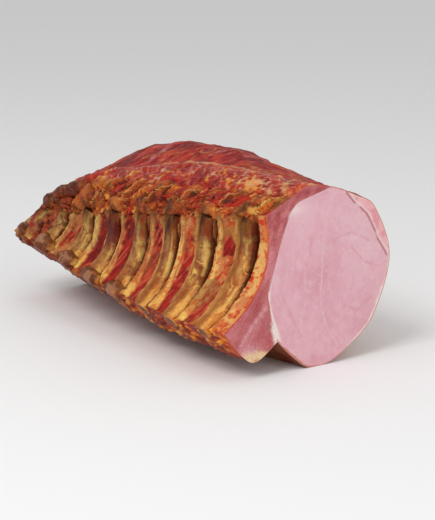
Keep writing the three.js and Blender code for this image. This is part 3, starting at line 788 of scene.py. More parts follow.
def top_look(run, across, length, w):
    """Rise, colour and roughness of the smoked meat over the backbone. across is the distance
    from the seam beside the eye, and w the distance up from the middle of the sawn strip."""
    place = flat_place(run, across)
    slanted_place = flat_place(*slanted(run, across, -1.1))
    streaks = fbm(slanted_place, 2.4, 31, 3, (1, 4, 1))
    fascia = vein(slanted_place, 4.4, 36, 2, (1, 4.0, 1))
    cracks = vein(place, 8, 35, 2, (1, 1.4, 1))
    n1 = fbm(place, 15, 32)
    n2 = fbm(slanted_place, 4.2, 33, 3, (1, 3.2, 1))
    n3 = fbm(place, 2.2, 34, 2)
    share = across / length
    low = smooth(0.25, 0.75, share)
    fat = smooth(0.3, 0.75, n2 + 0.35 * n3 + 0.3 * (low - 0.6))
    gold = smooth(0.8, 1.1, n2 + 0.4 * n3 + 0.2 * low + 0.35 * smooth(60, 20, run))
    pink = smooth(0.45, 0.08, share) * smooth(-0.1, 0.4, n1 + 0.4 * streaks + 0.3)
    pink_color = mix(ROSE, mix(PEACH, EYE_PINK, 0.4), smooth(-0.1, 0.6, n3 - 0.5 * streaks))
    seam = smooth(2.2, 0.4, across + 1.2 * n3) * smooth(-0.35, 0.25, n2 + 0.1)
    bright = smooth(-0.15, 0.45, 0.4 * n2 + 0.6 * streaks + 0.7 * n3 - 0.2 * n1)
    light = mix(CREAM, EYE_PINK, 0.35)
    light = mix(light, mix(ORANGE, YELLOW, 0.4), smooth(-0.1, 0.5, n1 - 0.5 * n2) * 0.75)
    pale = mix(mix(ROSE, ORANGE, 0.35), light, smooth(-0.4, 0.4, n3 + 0.4 * streaks))
    cut_edge = mix(mix(ROSE, ORANGE, 0.4), CREAM, smooth(-0.1, 0.6, streaks))
    chine_rise, chine_color, _ = chine_look(run, w)
    blend = smooth(12.0, 8.8, w + 1.5 * n2)
    color = layered(
        mix(RED, CRIMSON, smooth(-0.1, 0.7, streaks) * 0.7),
        (SCARLET, smooth(0.0, 0.7, n1) * 0.5),
        (ROSE, smooth(0.25, 0.8, -streaks) * 0.55),
        (mix(ORANGE, AMBER, smooth(-0.2, 0.5, n1)), fat * 0.65),
        (mix(YELLOW, CREAM, 0.35), gold * 0.8),
        (mix(CREAM, EYE_PINK, 0.3), smooth(0.66, 1.0, fascia) * smooth(-0.6, 0.1, n1) * 0.85),
        (mix(CREAM, ORANGE, 0.4), smooth(0.8, 1.0, cracks) * smooth(0.1, 0.5, n1) * 0.7),
        (UMBER, smooth(0.45, 0.9, -n2) * low * 0.7),
        (pink_color, pink * 0.42),
        (mix(CREAM, EYE_PINK, 0.2), seam * 0.75),
        (pale, smooth(62, 15, run) * bright * 0.65),
        (cut_edge, smooth(28, 5, run) * smooth(-0.5, 0.2, n2) * 0.65),
        (chine_color, blend),
    )
    rise = 1.0 * n1 + 0.7 * n2 + 0.6 * streaks + 0.3 * n3 - 0.9 * smooth(0.8, 1, cracks) + 0.3 * fascia
    return rise * (1 - blend) + chine_rise * blend, color, np.clip(0.36 + 0.08 * n2, 0.25, 0.55)


def edge_look(run, across, length):
    """The sawn lower edge: knobs at the rib ends with red meat between them."""
    place = flat_place(run, across)
    n1 = fbm(place, 8, 51)
    n2 = fbm(place, 3, 52, 3)
    n3 = fbm(place, 1.5, 53, 2)
    share = across / length
    knob = smooth(0.25, 0.75, rib_nearness(run + 0.25 * across + 1.5 * n1))
    far = smooth(60, 190, run)
    color = mix(mix(RED, BROWN, 0.3), ORANGE, smooth(-0.1, 0.5, n2) * 0.8)
    body = mix(PLUM, mix(BROWN, AMBER, 0.5), smooth(-0.4, 0.4, n1))
    # Paler mauve on the knobs, mostly along the middle of the band where they bulge most: painted sheen.
    body = mix(body, MAUVE, smooth(0.1, 0.7, n2) * bump(share, 0.45, 0.4) * 0.7)
    body = mix(body, UMBER, smooth(0.2, 0.8, -n2) * 0.6)
    color = layered(
        color,
        (body, knob * (0.5 + 0.4 * far)),
        (UMBER, smooth(0.35, 0.8, -n2 - 0.2 * n3) * 0.7),
        (YELLOW, smooth(0.4, 0.8, n2 + 0.3 * n3) * (1 - far) * 0.85),
    )
    color = mix(color, mix(ORANGE, SCARLET, 0.5), smooth(10, 2, run + 3 * n2) * 0.5) * fresh(run) * 1.1
    rise = (knob - 0.45) * (1.3 + 2.0 * far) * bump(share, 0.5, 0.6) + 0.7 * n2 + 0.3 * n3
    return rise, color, np.clip(0.36 + 0.06 * n1 - 0.06 * knob, 0.25, 0.6)


def under_look(run, across):
    place = flat_place(run, across)
    n1 = fbm(place, 14, 61)
    n2 = fbm(place, 4, 62)
    color = mix(AMBER, mix(RED, BROWN, 0.5), smooth(-0.3, 0.4, n1))
    color = mix(color, CREAM, smooth(0.3, 0.7, n2) * 0.3)
    # Painted shade: the whole underside darkened towards brown.
    color = mix(color, mix(BROWN, CUT_DARK, 0.4), 0.6)
    return 0.6 * n1 + 0.3 * n2, color, np.clip(0.44 + 0.05 * n1, 0.3, 0.6)


def line_distance(points, line):
    """Distance of each point (y, z) from a line of points, in millimetres."""
    best = np.full(points.shape[:-1], 1e9)
    for a, b in zip(line[:-1], line[1:]):
        span = b - a
        t = np.clip(((points - a) @ span) / max(span @ span, 1e-9), 0, 1)
        best = np.minimum(best, np.linalg.norm(points - (a + t[..., None] * span), axis=-1))
    return best


def spot(points, y, z, width, height, turn=0.0):
    """1 at a place on the cut face, fading out over an ellipse."""
    c, s = math.cos(math.radians(turn)), math.sin(math.radians(turn))
    dy, dz = points[..., 0] - y, points[..., 1] - z
    a, b = (dy * c + dz * s) / width, (dz * c - dy * s) / height
    return np.exp(-(a * a + b * b))


SEAM_SPANS = len(SEAM) - 1
near_seam = spline_rows(SEAM, np.array([0.0]), [(0, SEAM_SPANS, 60)])[0]


def seam_fat(yz, wave):
    """White fat along the seam of the cut face: a wedge at the notch, a thread higher up and a
    broader corner where the seam bends."""
    distance = line_distance(yz, near_seam) + 0.35 * wave
    z = yz[..., 1]
    width = 0.55 + 2.4 * smooth(33, 20, z) + 0.5 * bump(z, 46, 8) + 0.9 * bump(z, 81, 3.5)
    middle = smooth(40, 50, z) * smooth(85, 79, z)
    strength = 0.95 - 0.72 * middle
    width = width - 0.15 * middle
    strength = strength * (1 - 0.8 * smooth(82, 87, z))
    return smooth(width, width * 0.35, distance) * strength


WALL_LINE_POINTS = 33


def paint_rib_cut(points):
    """Fresh cut face of the rib-side meat."""
    yz = points[..., 1:]
    n1 = fbm(points, 9, 71)
    n2 = fbm(points, 3, 72, 3)
    grain_across, grain_along = slanted(yz[..., 0], yz[..., 1], 2.2)
    grain = noise(flat_place(grain_across, grain_along), 1.3, 73, (1, 5, 1))
    color = mix(CUT_RED, CUT_PINK, smooth(-0.3, 0.6, n1) * 0.5)
    color = layered(
        color,
        (CUT_DARK, spot(yz, -24, 79, 9, 7) * smooth(-0.7, 0.2, n2) * 0.9),
        (CUT_DARK, spot(yz, -4, 91.5, 13, 2.2, 8) * 0.75),
        (CUT_PINK, spot(yz, -31, 61, 5, 12) * 0.7),
        (CUT_DARK, spot(yz, -36, 38, 4, 10, -30) * 0.55),
        (CUT_DARK, spot(yz, -30, 27, 3, 6, -20) * 0.45),
        (EYE_PINK, spot(yz, -40, 15, 6, 4) * 0.6),
        (CUT_DARK, smooth(0.2, 0.8, grain) * 0.3),
        (CUT_PINK, smooth(0.2, 0.8, -grain) * 0.35),
    )
    pale = line_distance(yz, np.array([[-29.5, 36.5], [-37, 29], [-45.5, 18.5]])) + 0.4 * n2
    color = mix(color, EYE_PALE, smooth(1.5, 0.2, pale) * 0.4)
    color = mix(color, FAT_WHITE, seam_fat(yz, n2))
    low = smooth(14.5, 12.0, yz[..., 1] + 1.5 * n2)
    color = mix(color, FLAP_FAT, low * 0.85)
    color = mix(color, mix(SCARLET, ORANGE, 0.4), smooth(0.1, 0.6, n2) * low * 0.6)
    wall_line = wall_rows(np.zeros(WALL_LINE_POINTS), np.linspace(0, 1, WALL_LINE_POINTS))
    rind = line_distance(yz, wall_line) + 0.5 * n2
    color = mix(color, mix(ORANGE, SCARLET, smooth(-0.3, 0.3, n1)), smooth(1.4, 0.2, rind) * 0.75)
    return color, np.clip(0.36 + 0.05 * n1, 0.28, 0.5)


def reaches(rows):
    """Distance travelled along each line of points."""
    return np.array([line_reach(row) for row in rows])


def step_shares(steps):
    """Share of the way along a line of so many steps, at each run."""
    return np.broadcast_to(np.arange(steps) / steps, (RIB_MEAT_ROWS + 1, steps))


def top_zones(reach, run):
    """Looks of the top and of the sawn strip, each as rise, colour and roughness."""
    high = reach[:, TOP_STEPS : TOP_STEPS + 1]
    w = high + half_strip(reach) - reach
    across = reach[:, :TOP_STEPS]
    rise, color, rough = top_look(run[:, TOP], across, high, w[:, :TOP_STEPS])
    return (rise * smooth(0, 5, across), color, rough), chine_look(run[:, CHINE], w[:, TOP_STEPS:-1])


def half_strip(top_reach):
    return (top_reach[:, -1:] - top_reach[:, TOP_STEPS : TOP_STEPS + 1]) / 2


def wall_zone(reach, run, half_width):
    """Look of the rib wall, with a ragged lip of the sawn strip hanging over its top."""
    v = step_shares(WALL_STEPS)
    depth = reach[:, :-1]
    bands = wall_bands(run, v, depth)
    color, rough = paint_wall(bands, v, run)
    color, rise = weathered_with_pit_shade(run, depth, color, wall_relief(bands, v))
    color, rise = lip_lumps(run, reach[:, -1:] - depth, color, rise)
    lump_rise, lump_color, _ = chine_look(run, -half_width - depth)
    ragged = 4.0 * fbm(bands["place"], 7, 12, 2)
    overhang = smooth(2.0, -1.0, depth - 1.6 - ragged + 1.5 * bands["hollow"] + 3.0 * bands["strip"])
    return rise * (1 - overhang) + lump_rise * overhang, mix(color, lump_color, overhang), rough


def flap_zones(reach, run):
    """Looks of the sawn lower edge and of the flap's underside."""
    across = reach[:, :EDGE_STEPS]
    rise, color, rough = edge_look(run[:, EDGE], across, reach[:, EDGE_STEPS : EDGE_STEPS + 1])
    color, rise = lip_lumps(run[:, EDGE], -across, color, rise)
    under_rise, under_color, under_rough = under_look(run[:, UNDERSIDE], reach[:, EDGE_STEPS:-1])
    under_rise = under_rise * smooth(1, 0.6, step_shares(UNDER_STEPS))
    return (rise, color, rough), (under_rise, under_color, under_rough)


def flat_ends(points):
    """Keeps the first and last sections on the two cut planes."""
    points[0, :, 0] = 0
    points[-1, :, 0] = -LOIN_LENGTH
    return points


def rib_meat_skin(runs):
    """Points, colour and roughness of the rib-side meat between its two cut faces."""
    top_line = ["seam_top", "ridge", "chine_high", "chine_low"]
    top = spline_rows(top_line, runs, [(0, 2, TOP_STEPS), (2, 3, CHINE_STEPS)])
    wall_v = np.linspace(0, 1, WALL_STEPS + 1)
    wall = wall_rows(runs[:, None] + 0 * wall_v, wall_v[None] + 0 * runs[:, None])
    flap = flap_rows(runs, EDGE_STEPS, UNDER_STEPS)
    seam = spline_rows(SEAM, runs, [(0, SEAM_SPANS, SEAM_STEPS)])
    loop = np.concatenate([line[:, :-1] for line in (top, wall, flap, seam)], axis=1)
    points = in_space(loop, runs)
    run = np.broadcast_to(runs[:, None], loop.shape[:2])

    top_reach = reaches(top)
    inner = run[:, INNER].shape
    looks = [
        *top_zones(top_reach, run),
        wall_zone(reaches(wall), run[:, WALL], half_strip(top_reach)),
        *flap_zones(reaches(flap), run),
        (np.zeros(inner), np.broadcast_to(CUT_RED, (*inner, 3)), np.full(inner, 0.42)),
    ]
    rise, color, rough = (np.concatenate(parts, axis=1) for parts in zip(*looks))
    rise = rise * (0.25 * smooth(0, 2, run) + 0.75 * smooth(0, 9, run))
    rise = rise * smooth(LOIN_LENGTH, LOIN_LENGTH - 4, run)
    return flat_ends(points + grid_normals(points) * rise[..., None]), color, rough


def build_rib_meat():
    points, color, rough = rib_meat_skin(np.linspace(0, LOIN_LENGTH, RIB_MEAT_ROWS + 1))
    shell = Shell()
    shell.grid(points, color, rough, closed=True)
    outer = points[:, : INNER.start + 1]
    inner = np.concatenate([points[:, INNER], points[:, :1]], axis=1)[:, ::-1]
    corners = [0, CHINE.stop, WALL.stop, INNER.start]
    facing = np.interp(np.arange(outer.shape[1]), corners, WEB_CORNERS * SEAM_STEPS)
    facing = np.round(facing).astype(int)
    shell.web(outer[0], inner[0][facing], NEAR_WEB_STEPS, paint_rib_cut)
    shell.web(outer[-1], inner[-1][facing], FAR_WEB_STEPS, paint_far_cut)
    return shell.build("rib_side_meat", smoked_meat)


def paint_far_cut(points):
    """The smoked far end: darkened muscle with a paler seam."""
    n1 = fbm(points, 12, 81)
    n2 = fbm(points, 4, 82, 3)
    color = mix(mix(CRIMSON, BROWN, 0.3), RED, smooth(-0.4, 0.5, n1))
    color = mix(color, AMBER, smooth(0.2, 0.6, n2) * 0.6)
    return color, np.clip(0.42 + 0.06 * n1, 0.3, 0.6)


# ---- the eye and its cap --------------------------------------------------------------
EYE_ROWS = 190
EYE_UNDER, EYE_REST, EYE_BEFORE, EYE_BED, EYE_AFTER = 20, 8, 84, 90, 40
SIDE_FINE_STEPS = 400
NEAR_RINGS, FAR_RINGS = 84, 24
CAP_NEAR_STEPS, CAP_FAR_STEPS = 14, 5
EYE_MIDDLE = np.array([0.0, 12, 46])
CAP_PLACE = slice(EYE_UNDER + EYE_REST + EYE_BEFORE, EYE_UNDER + EYE_REST + EYE_BEFORE + EYE_BED + 1)
BED_SHARE = np.arange(EYE_BED + 1) / EYE_BED
CAP_DEPTH = CAP_THICKNESS * np.minimum(1, 5 * BED_SHARE * (1 - BED_SHARE))


def eye_outside(runs):
    """The smoked outside of the eye: under, rest strip and outer side."""
    under = spline_rows(UNDER, runs, [(0, 2, EYE_UNDER)], "end")
    rest = spline_rows(["rest_left", "rest_right"], runs, [(0, 1, EYE_REST)])
    side = spline_rows(EYE_SIDE, runs, [(0, len(EYE_SIDE) - 1, SIDE_FINE_STEPS)], "start")
    parts = []
    for row in side:
        before = equal_steps(row, EYE_BEFORE, (0, CAP_START))
        under_cap = equal_steps(row, EYE_BED, (CAP_START, CAP_END))
        after = equal_steps(row, EYE_AFTER, (CAP_END, 1))
        parts.append(np.vstack([before, under_cap[1:], after[1:]]))
    return np.concatenate([under, rest[:, 1:], np.array(parts)[:, 1:]], axis=1)


def eye_skin(run, reach, length):
    """Rise, colour and roughness of the smoked outside. reach runs from the notch under the
    loin and up the outer side to the seam, in millimetres, and length is the whole way."""
    back = length - reach
    place = flat_place(run, reach)
    n1 = fbm(place, 22, 91, 3, (1.8, 1, 1))
    n2 = fbm(place, 6, 92, 3, (2.0, 1, 1))
    n3 = fbm(place, 2.2, 95, 2)
    streak_across, streak_along = slanted(run, -back, 0.75)
    streak_across = streak_across + 2.5 * n1 + 1.2 * n2
    streak = fbm(flat_place(streak_across, streak_along), 2.2, 93, 3, (1, 4.5, 1))
    # Painted highlight: a pale pink sheen on the smoked dome, strongest near the top.
    dome_sheen = smooth(0.1, 0.7, fbm(flat_place(streak_across, streak_along), 9, 96, 3, (1, 2, 1)) - 0.02 * back)
    lean = mix(RED, CRIMSON, smooth(-0.3, 0.6, n1))
    lean = mix(lean, mix(CRIMSON, MAROON, 0.15), smooth(0.0, 0.6, -streak + 0.3 * n3) * 0.7)
    lean = mix(lean, mix(ROSE, SCARLET, 0.4), smooth(0.1, 0.6, streak + 0.3 * n3) * 0.65)
    lines = vein(flat_place(streak_across + 1.5 * n2, streak_along), 5.0, 94, 3, (1, 3, 1))
    lean = layered(
        lean,
        (mix(ROSE, CREAM, 0.6), smooth(0.65, 1.0, lines) * smooth(-0.3, 0.4, n2) * 0.85),
        (AMBER, smooth(0.3, 0.8, n2) * 0.35),
        (mix(ROSE, EYE_PINK, 0.5), dome_sheen * smooth(-0.2, 0.5, n3 + 0.5 * streak) * 0.6),
    )
    fat = mix(AMBER, SKIN_FAT, smooth(-0.3, 0.5, n1))
    fat = mix(fat, mix(RED, BROWN, 0.4), smooth(0.05, 0.8, n2 + 0.3 * n3) * 0.5)
    fat = mix(fat, SKIN_PALE, smooth(0.2, 0.9, -n2 + 0.3 * n3) * 0.45)
    color = mix(fat, lean, smooth(62, 46, back + 5 * n1))
    # Smoked brown underside, deepened with painted shade under the loin and near the notch.
    color = mix(color, mix(UMBER, RED, 0.35), smooth(42, 16, reach) * 0.8)
    color = mix(color, CREAM, smooth(1.2, 0.3, back + 0.8 * n3) * smooth(-0.35, 0.3, n2 + 0.1) * 0.65)
    rise = 1.1 * n1 + 0.8 * n2 + 0.35 * streak
    return rise, color, np.clip(0.52 + 0.08 * n2, 0.4, 0.65)


# Faint curved fibres on the cut eye, as (y, z) points.
EYE_THREADS = [
    np.array(line, float)
    for line in (
        [[22, 62], [32, 52], [42, 48], [50, 50]],
        [[18, 30], [28, 26], [38, 32]],
        [[-10, 44], [-4, 56], [-2, 70]],
        [[14, 66], [24, 68], [36, 62]],
        [[-20, 40], [-14, 28], [-8, 18]],
    )
]


def paint_eye_cut(points):
    """Fresh cut face of the eye: moist pale pink with fine seams."""
    yz = points[..., 1:]
    n1 = fbm(points, 16, 101)
    n2 = fbm(points, 5, 102, 3)
    n3 = fbm(points, 2, 103, 2)
    color = mix(EYE_PINK, EYE_ROSE, smooth(-0.2, 0.8, n1) * 0.5)
    color = layered(
        color,
        (EYE_PALE, smooth(0.1, 0.9, n2) * 0.4),
        (EYE_ROSE, spot(yz, 10, 46, 9, 26) * 0.5),
        (EYE_ROSE, spot(yz, 32, 34, 8, 20, -20) * 0.45),
        (EYE_PALE, spot(yz, 22, 76, 13, 10) * 0.45),
        (EYE_PALE, spot(yz, -8, 74, 6, 9) * 0.3),
        (EYE_PALE, smooth(0.1, 0.8, n3) * 0.25),
        (EYE_ROSE, smooth(0.2, 0.8, -n3 + 0.3 * n2) * 0.2),
        (EYE_PALE, spot(yz, -8, 83, 9, 5) * 0.75),
        (FAT_WHITE, spot(yz, -12.5, 83.5, 3.2, 2.2) * 0.7),
        (EYE_PALE, spot(yz, 34, 58, 13, 22) * 0.6),
    )
    net = vein(points, 9, 105, 3)
    color = mix(color, EYE_PALE, smooth(0.5, 1.0, net) * smooth(-0.2, 0.5, n2) * 0.35)
    color = mix(color, EYE_ROSE, smooth(0.7, 1.0, vein(points, 11, 106, 3)) * smooth(-0.1, 0.6, -n2) * 0.55)
    wave = 0.5 * n3
    main = line_distance(yz, np.array([[5, 56], [4.2, 40], [4.6, 30], [8.5, 20], [16, 9]])) + wave
    upper = line_distance(yz, np.array([[12.5, 90], [7, 78], [5, 56]])) + wave
    color = layered(
        color,
        (EYE_ROSE, smooth(4, 0.5, main) * 0.35),
        (EYE_PALE, smooth(0.75, 0.1, main) * 0.7),
        (EYE_PALE, smooth(1.2, 0.1, upper) * 0.45),
    )
    for line in EYE_THREADS:
        color = mix(color, EYE_ROSE, smooth(0.9, 0.1, line_distance(yz, line) + wave) * 0.55)
    color = mix(color, FAT_WHITE, seam_fat(yz, n3))
    specks = smooth(0.55, 0.9, noise(points, 1.5, 104)) * smooth(-0.1, 0.6, n1)
    color = mix(color, EYE_PALE, specks * 0.6)
    return color, np.clip(0.33 + 0.05 * n2, 0.26, 0.5)


def skin_rim(yz, outline, color, width_white, width_skin):
    """A white fat line and a thin smoked line just inside the outside edge of a cut face."""
    distance = line_distance(yz, outline)
    color = mix(color, FAT_WHITE, smooth(width_white, width_white * 0.5, distance) * 0.8)
    return mix(color, SKIN_BROWN, smooth(width_skin, width_skin * 0.5, distance) * 0.85)


def paint_eye_face(points, outline, bed_line):
    """The cut eye with its rim: fat on the lower right, brown skin, and a slit below the cap."""
    yz = points[..., 1:]
    color, rough = paint_eye_cut(points)
    n = fbm(points, 5, 121)
    low_side = smooth(58, 40, yz[..., 1]) * smooth(16, 32, yz[..., 0])
    bed = line_distance(yz, bed_line)
    slit = smooth(0.9, 0.2, np.abs(bed - 1.0)) * smooth(0.1, 0.4, noise(points, 5, 122))
    color = mix(color, FAT_WHITE, smooth(0.8, 0.2, bed + 0.5 * n) * 0.55)
    color = mix(color, SLIT_RED, slit * 0.75)
    white = 0.5 + 2.9 * low_side * (0.6 + 0.4 * n)
    brown = 0.6 + 0.7 * smooth(4, -6, yz[..., 0]) * (1 + n)
    return skin_rim(yz, outline, color, white, brown), rough


def paint_cap_face(points, outline, bed_line):
    yz = points[..., 1:]
    n1 = fbm(points, 5, 131)
    n2 = fbm(points, 2, 132)
    color = mix(CAP_PINK, CAP_ROSE, smooth(-0.3, 0.5, n1))
    color = mix(color, EYE_PALE, smooth(0.3, 0.9, n2) * 0.4)
    color = mix(color, FAT_WHITE, smooth(0.9, 0.3, line_distance(yz, bed_line) + 0.6 * n2) * 0.5)
    return skin_rim(yz, outline, color, 0.9, 0.6), np.clip(0.36 + 0.05 * n1, 0.28, 0.5)


def eye_surface(runs):
    """Points, colour and roughness of the smoked outside, and the bed sunk into it for the cap."""
    outside = eye_outside(runs)
    points = in_space(outside, runs)
    run = np.broadcast_to(runs[:, None], points.shape[:2])
    reach = reaches(outside)
    length = reach[:, -1:]
    normals = grid_normals(points, closed=False)
    lift, color, rough = eye_skin(run, reach, length)
    calm = smooth(2.0, 7.0, points[..., 2]) * smooth(0, 4, reach) * smooth(0, 4, length - reach)
    lift = lift * calm * smooth(0, 10, run) * smooth(LOIN_LENGTH, LOIN_LENGTH - 4, run)
    smoked = flat_ends(points + normals * lift[..., None])
    bed = flat_ends(smoked[:, CAP_PLACE] - normals[:, CAP_PLACE] * CAP_DEPTH[None, :, None])
    return smoked, color, rough, bed


def build_eye(runs, smoked, color, rough, bed):
    before, after = slice(0, CAP_PLACE.start), slice(CAP_PLACE.stop, None)
    seam = in_space(spline_rows(SEAM, runs, [(0, SEAM_SPANS, SEAM_STEPS)]), runs)[:, -2:0:-1]
    fat = smooth(0.8, 3.0, CAP_DEPTH)[None] * smooth(6, 1, runs[:, None])
    bed_color = mix(color[:, CAP_PLACE], FAT_WHITE, fat)
    seam_color = np.broadcast_to(EYE_PINK, seam.shape)
    ring = np.concatenate([smoked[:, before], bed, smoked[:, after], seam], axis=1)
    ring_color = np.concatenate([color[:, before], bed_color, color[:, after], seam_color], axis=1)
    ring_rough = np.concatenate([rough, np.full(seam.shape[:2], 0.4)], axis=1)
    shell = Shell()
    shell.grid(ring, ring_color, ring_rough, closed=True)
    near_face = lambda p: paint_eye_face(p, smoked[0, :, 1:], bed[0, :, 1:])
    shell.lid(ring[0], EYE_MIDDLE, NEAR_RINGS, near_face, 0.9)
    shell.lid(ring[-1], ring[-1].mean(axis=0), FAR_RINGS, paint_far_cut)
    return shell.build("loin_eye_meat", cut_meat)


def build_cap(smoked, color, rough, bed):
    skin, under = smoked[:, CAP_PLACE], bed[:, -2:0:-1]
    loop = np.concatenate([skin, under], axis=1)
    loop_color = np.concatenate([color[:, CAP_PLACE], np.broadcast_to(FAT_WHITE, under.shape)], axis=1)
    loop_rough = np.concatenate([rough[:, CAP_PLACE], np.full(under.shape[:2], 0.4)], axis=1)
    shell = Shell()
    shell.grid(loop, loop_color, loop_rough, closed=True)
    near_face = lambda p: paint_cap_face(p, smoked[0, :, 1:], bed[0, :, 1:])
    shell.web(skin[0], bed[0], CAP_NEAR_STEPS, near_face)
    shell.web(skin[-1], bed[-1], CAP_FAR_STEPS, paint_far_cut)
    return shell.build("cap_meat", cut_meat)


# ---- bones ----------------------------------------------------------------------------
RIB_STEPS, RIB_SIDES = 150, 44
HEAD_RINGS, SAWN_RINGS = 5, 14
DEEP_RED_RIB = 4


def rib_axis(index, v):
    """Middle line of a rib below the rib wall; its head dives into the hollow at the top."""
    run = FIRST_RIB + RIB_PITCH * index + RIB_LEAN * v
    reach = np.minimum(v, 1)
    here = wall_rows(run, reach)
    ahead = wall_rows(run, np.minimum(reach + 0.01, 1)) - wall_rows(run, np.minimum(reach, 0.99))
    ahead = ahead / np.linalg.norm(ahead, axis=-1, keepdims=True)
    depth = RIB_DEPTH_TOP + (RIB_DEPTH_END - RIB_DEPTH_TOP) * smooth(0, 1, reach)
    depth = depth + 1.7 * smooth(0.16, 0.0, reach)
    inward = np.stack([-ahead[..., 1], ahead[..., 0]], axis=-1) * depth[..., None]
    beyond = ahead * (np.maximum(v - 1, 0) * WALL_HEIGHT)[..., None]
    place = here + inward + beyond
    return np.concatenate([-np.asarray(run)[..., None], place], axis=-1)


def squared(wave, squareness):
    """A cosine or sine pushed out towards a square section."""
    return np.sign(wave) * np.abs(wave) ** squareness


def rib_frame(index, v):
    """Middle line of a rib, with its directions ahead, across and outwards."""
    ahead = rib_axis(index, v + 0.01) - rib_axis(index, v - 0.01)
    ahead = ahead / np.linalg.norm(ahead, axis=1, keepdims=True)
    wide = np.array([1.0, 0, 0]) - ahead * ahead[:, :1]
    wide = wide / np.linalg.norm(wide, axis=1, keepdims=True)
    return rib_axis(index, v), ahead, wide, np.cross(ahead, wide)


def paint_rib(index, side, v, place, grains):
    """Colour of a rib: mossy at the head under painted shade from the backbone, tan and golden towards the
    sawn end; a painted highlight runs along one side and painted shade along its edges.
    """
    n1, n2, stripe, cracks = grains
    near = 1.0 if index < 2 else 0.0
    mottle = fbm(place, 2.6, 192, 3, (1, 1.8, 1))
    blotch = fbm(place, 5, 193, 3, (1, 1.5, 1))
    # Painted highlight: a pale streak along the rounded side of the rib.
    light = bump(side, 0.62, 0.28) * smooth(0.2, 0.45, v) * smooth(-0.4, 0.2, n2 + 0.3 * mottle)
    bits = smooth(0.1, 0.5, mottle + 0.4 * n2) * smooth(0.68, 0.82, v)
    # Painted shade where the head dives under the backbone strip; it reaches lower on one side of the rib.
    reach = v + 0.03 + 0.08 * n1 + 0.18 * side + 0.05 * math.sin(index * 2.7)
    shade = mix(mix(BROWN, OLIVE, 0.35), mix(UMBER, MAROON, 0.3), smooth(-0.4, 0.5, n2 - 0.5 * mottle))
    return layered(
        mix(OLIVE, TAN, smooth(0.1, 0.5, v + 0.15 * n1)),
        (OCHRE, smooth(0.45, 0.85, v + 0.15 * n1) * (0.5 + 0.4 * near)),
        (MOSS, smooth(0.2, 0.8, n1) * smooth(0.5, 0.2, v) * 0.6),
        (mix(CREAM, MOSS, 0.3), smooth(0.0, 0.6, stripe + 0.8 * mottle) * 0.6),
        (mix(BROWN, RED, 0.25), smooth(0.15, 0.6, -mottle) * 0.7),
        (BROWN, smooth(0.15, 0.8, -stripe - 0.4 * n2) * 0.5),
        (mix(BROWN, RED, 0.35), smooth(0.2, 0.6, blotch) * 0.6),
        (mix(BUTTER, MOSS, 0.35), smooth(0.2, 0.6, -blotch) * 0.45),
        (mix(AMBER, RED, 0.2), smooth(0.1, 0.7, -n1) * 0.55),
        (mix(RED, BROWN, 0.4), smooth(0.3, 0.8, fbm(place, 7, 191) + 0.3 * n2) * 0.5),
        (BUTTER, smooth(0.8, 1.0, cracks) * (0.3 + 0.5 * near) * smooth(0.2, 0.4, v)),
        # Painted highlight along the rib's side.
        (mix(CREAM, BUTTER, 0.5), light * 0.65),
        # Painted shade along the rib's edge where its side turns away.
        (BROWN, smooth(-0.75, -0.95, side) * 0.45),
        (mix(YELLOW, CREAM, 0.5), smooth(0.0, 0.5, side) * smooth(0.76, 0.9, v + 0.06 * n2) * 0.85),
        (mix(ORANGE, BROWN, 0.35), bits * 0.65),
        (mix(BROWN, AMBER, 0.6), smooth(0.6, 0.9, v + 0.1 * n1) * smooth(0.3, -0.3, side) * 0.75),
        # Painted shade: a dark line down the rib's other edge.
        (MAROON, smooth(0.84, 0.97, side + 0.05 * n2) * smooth(0.8, 0.6, v) * 0.85),
        # Painted shade over the head.
        (mix(BROWN, RED, 0.2), smooth(0.46, 0.18, reach + 0.08 * stripe) * 0.6),
        (shade, smooth(0.28, 0.13, reach + 0.05 * stripe) * 0.95),
    )


# The rib's head end: flat dark brown, painted shade of the hollow it sits in.
def paint_rib_head(points):
    return np.broadcast_to(UMBER, points.shape), 0.5


def paint_rib_end(points, middle, wide, thick):
    """Dark marrow inside a paler rim."""
    axes = np.stack([wide / RIB_HALF_WIDTH, thick / RIB_HALF_THICKNESS], 1)
    away = np.linalg.norm((points - middle) @ axes, axis=-1)
    color = mix(MARROW, mix(AMBER, GREY, 0.35), smooth(0.2, 0.8, away + 0.3 * fbm(points, 2, 182)))
    return mix(color, BONE_RIM, bump(away, 0.88, 0.16) * 0.6), 0.45


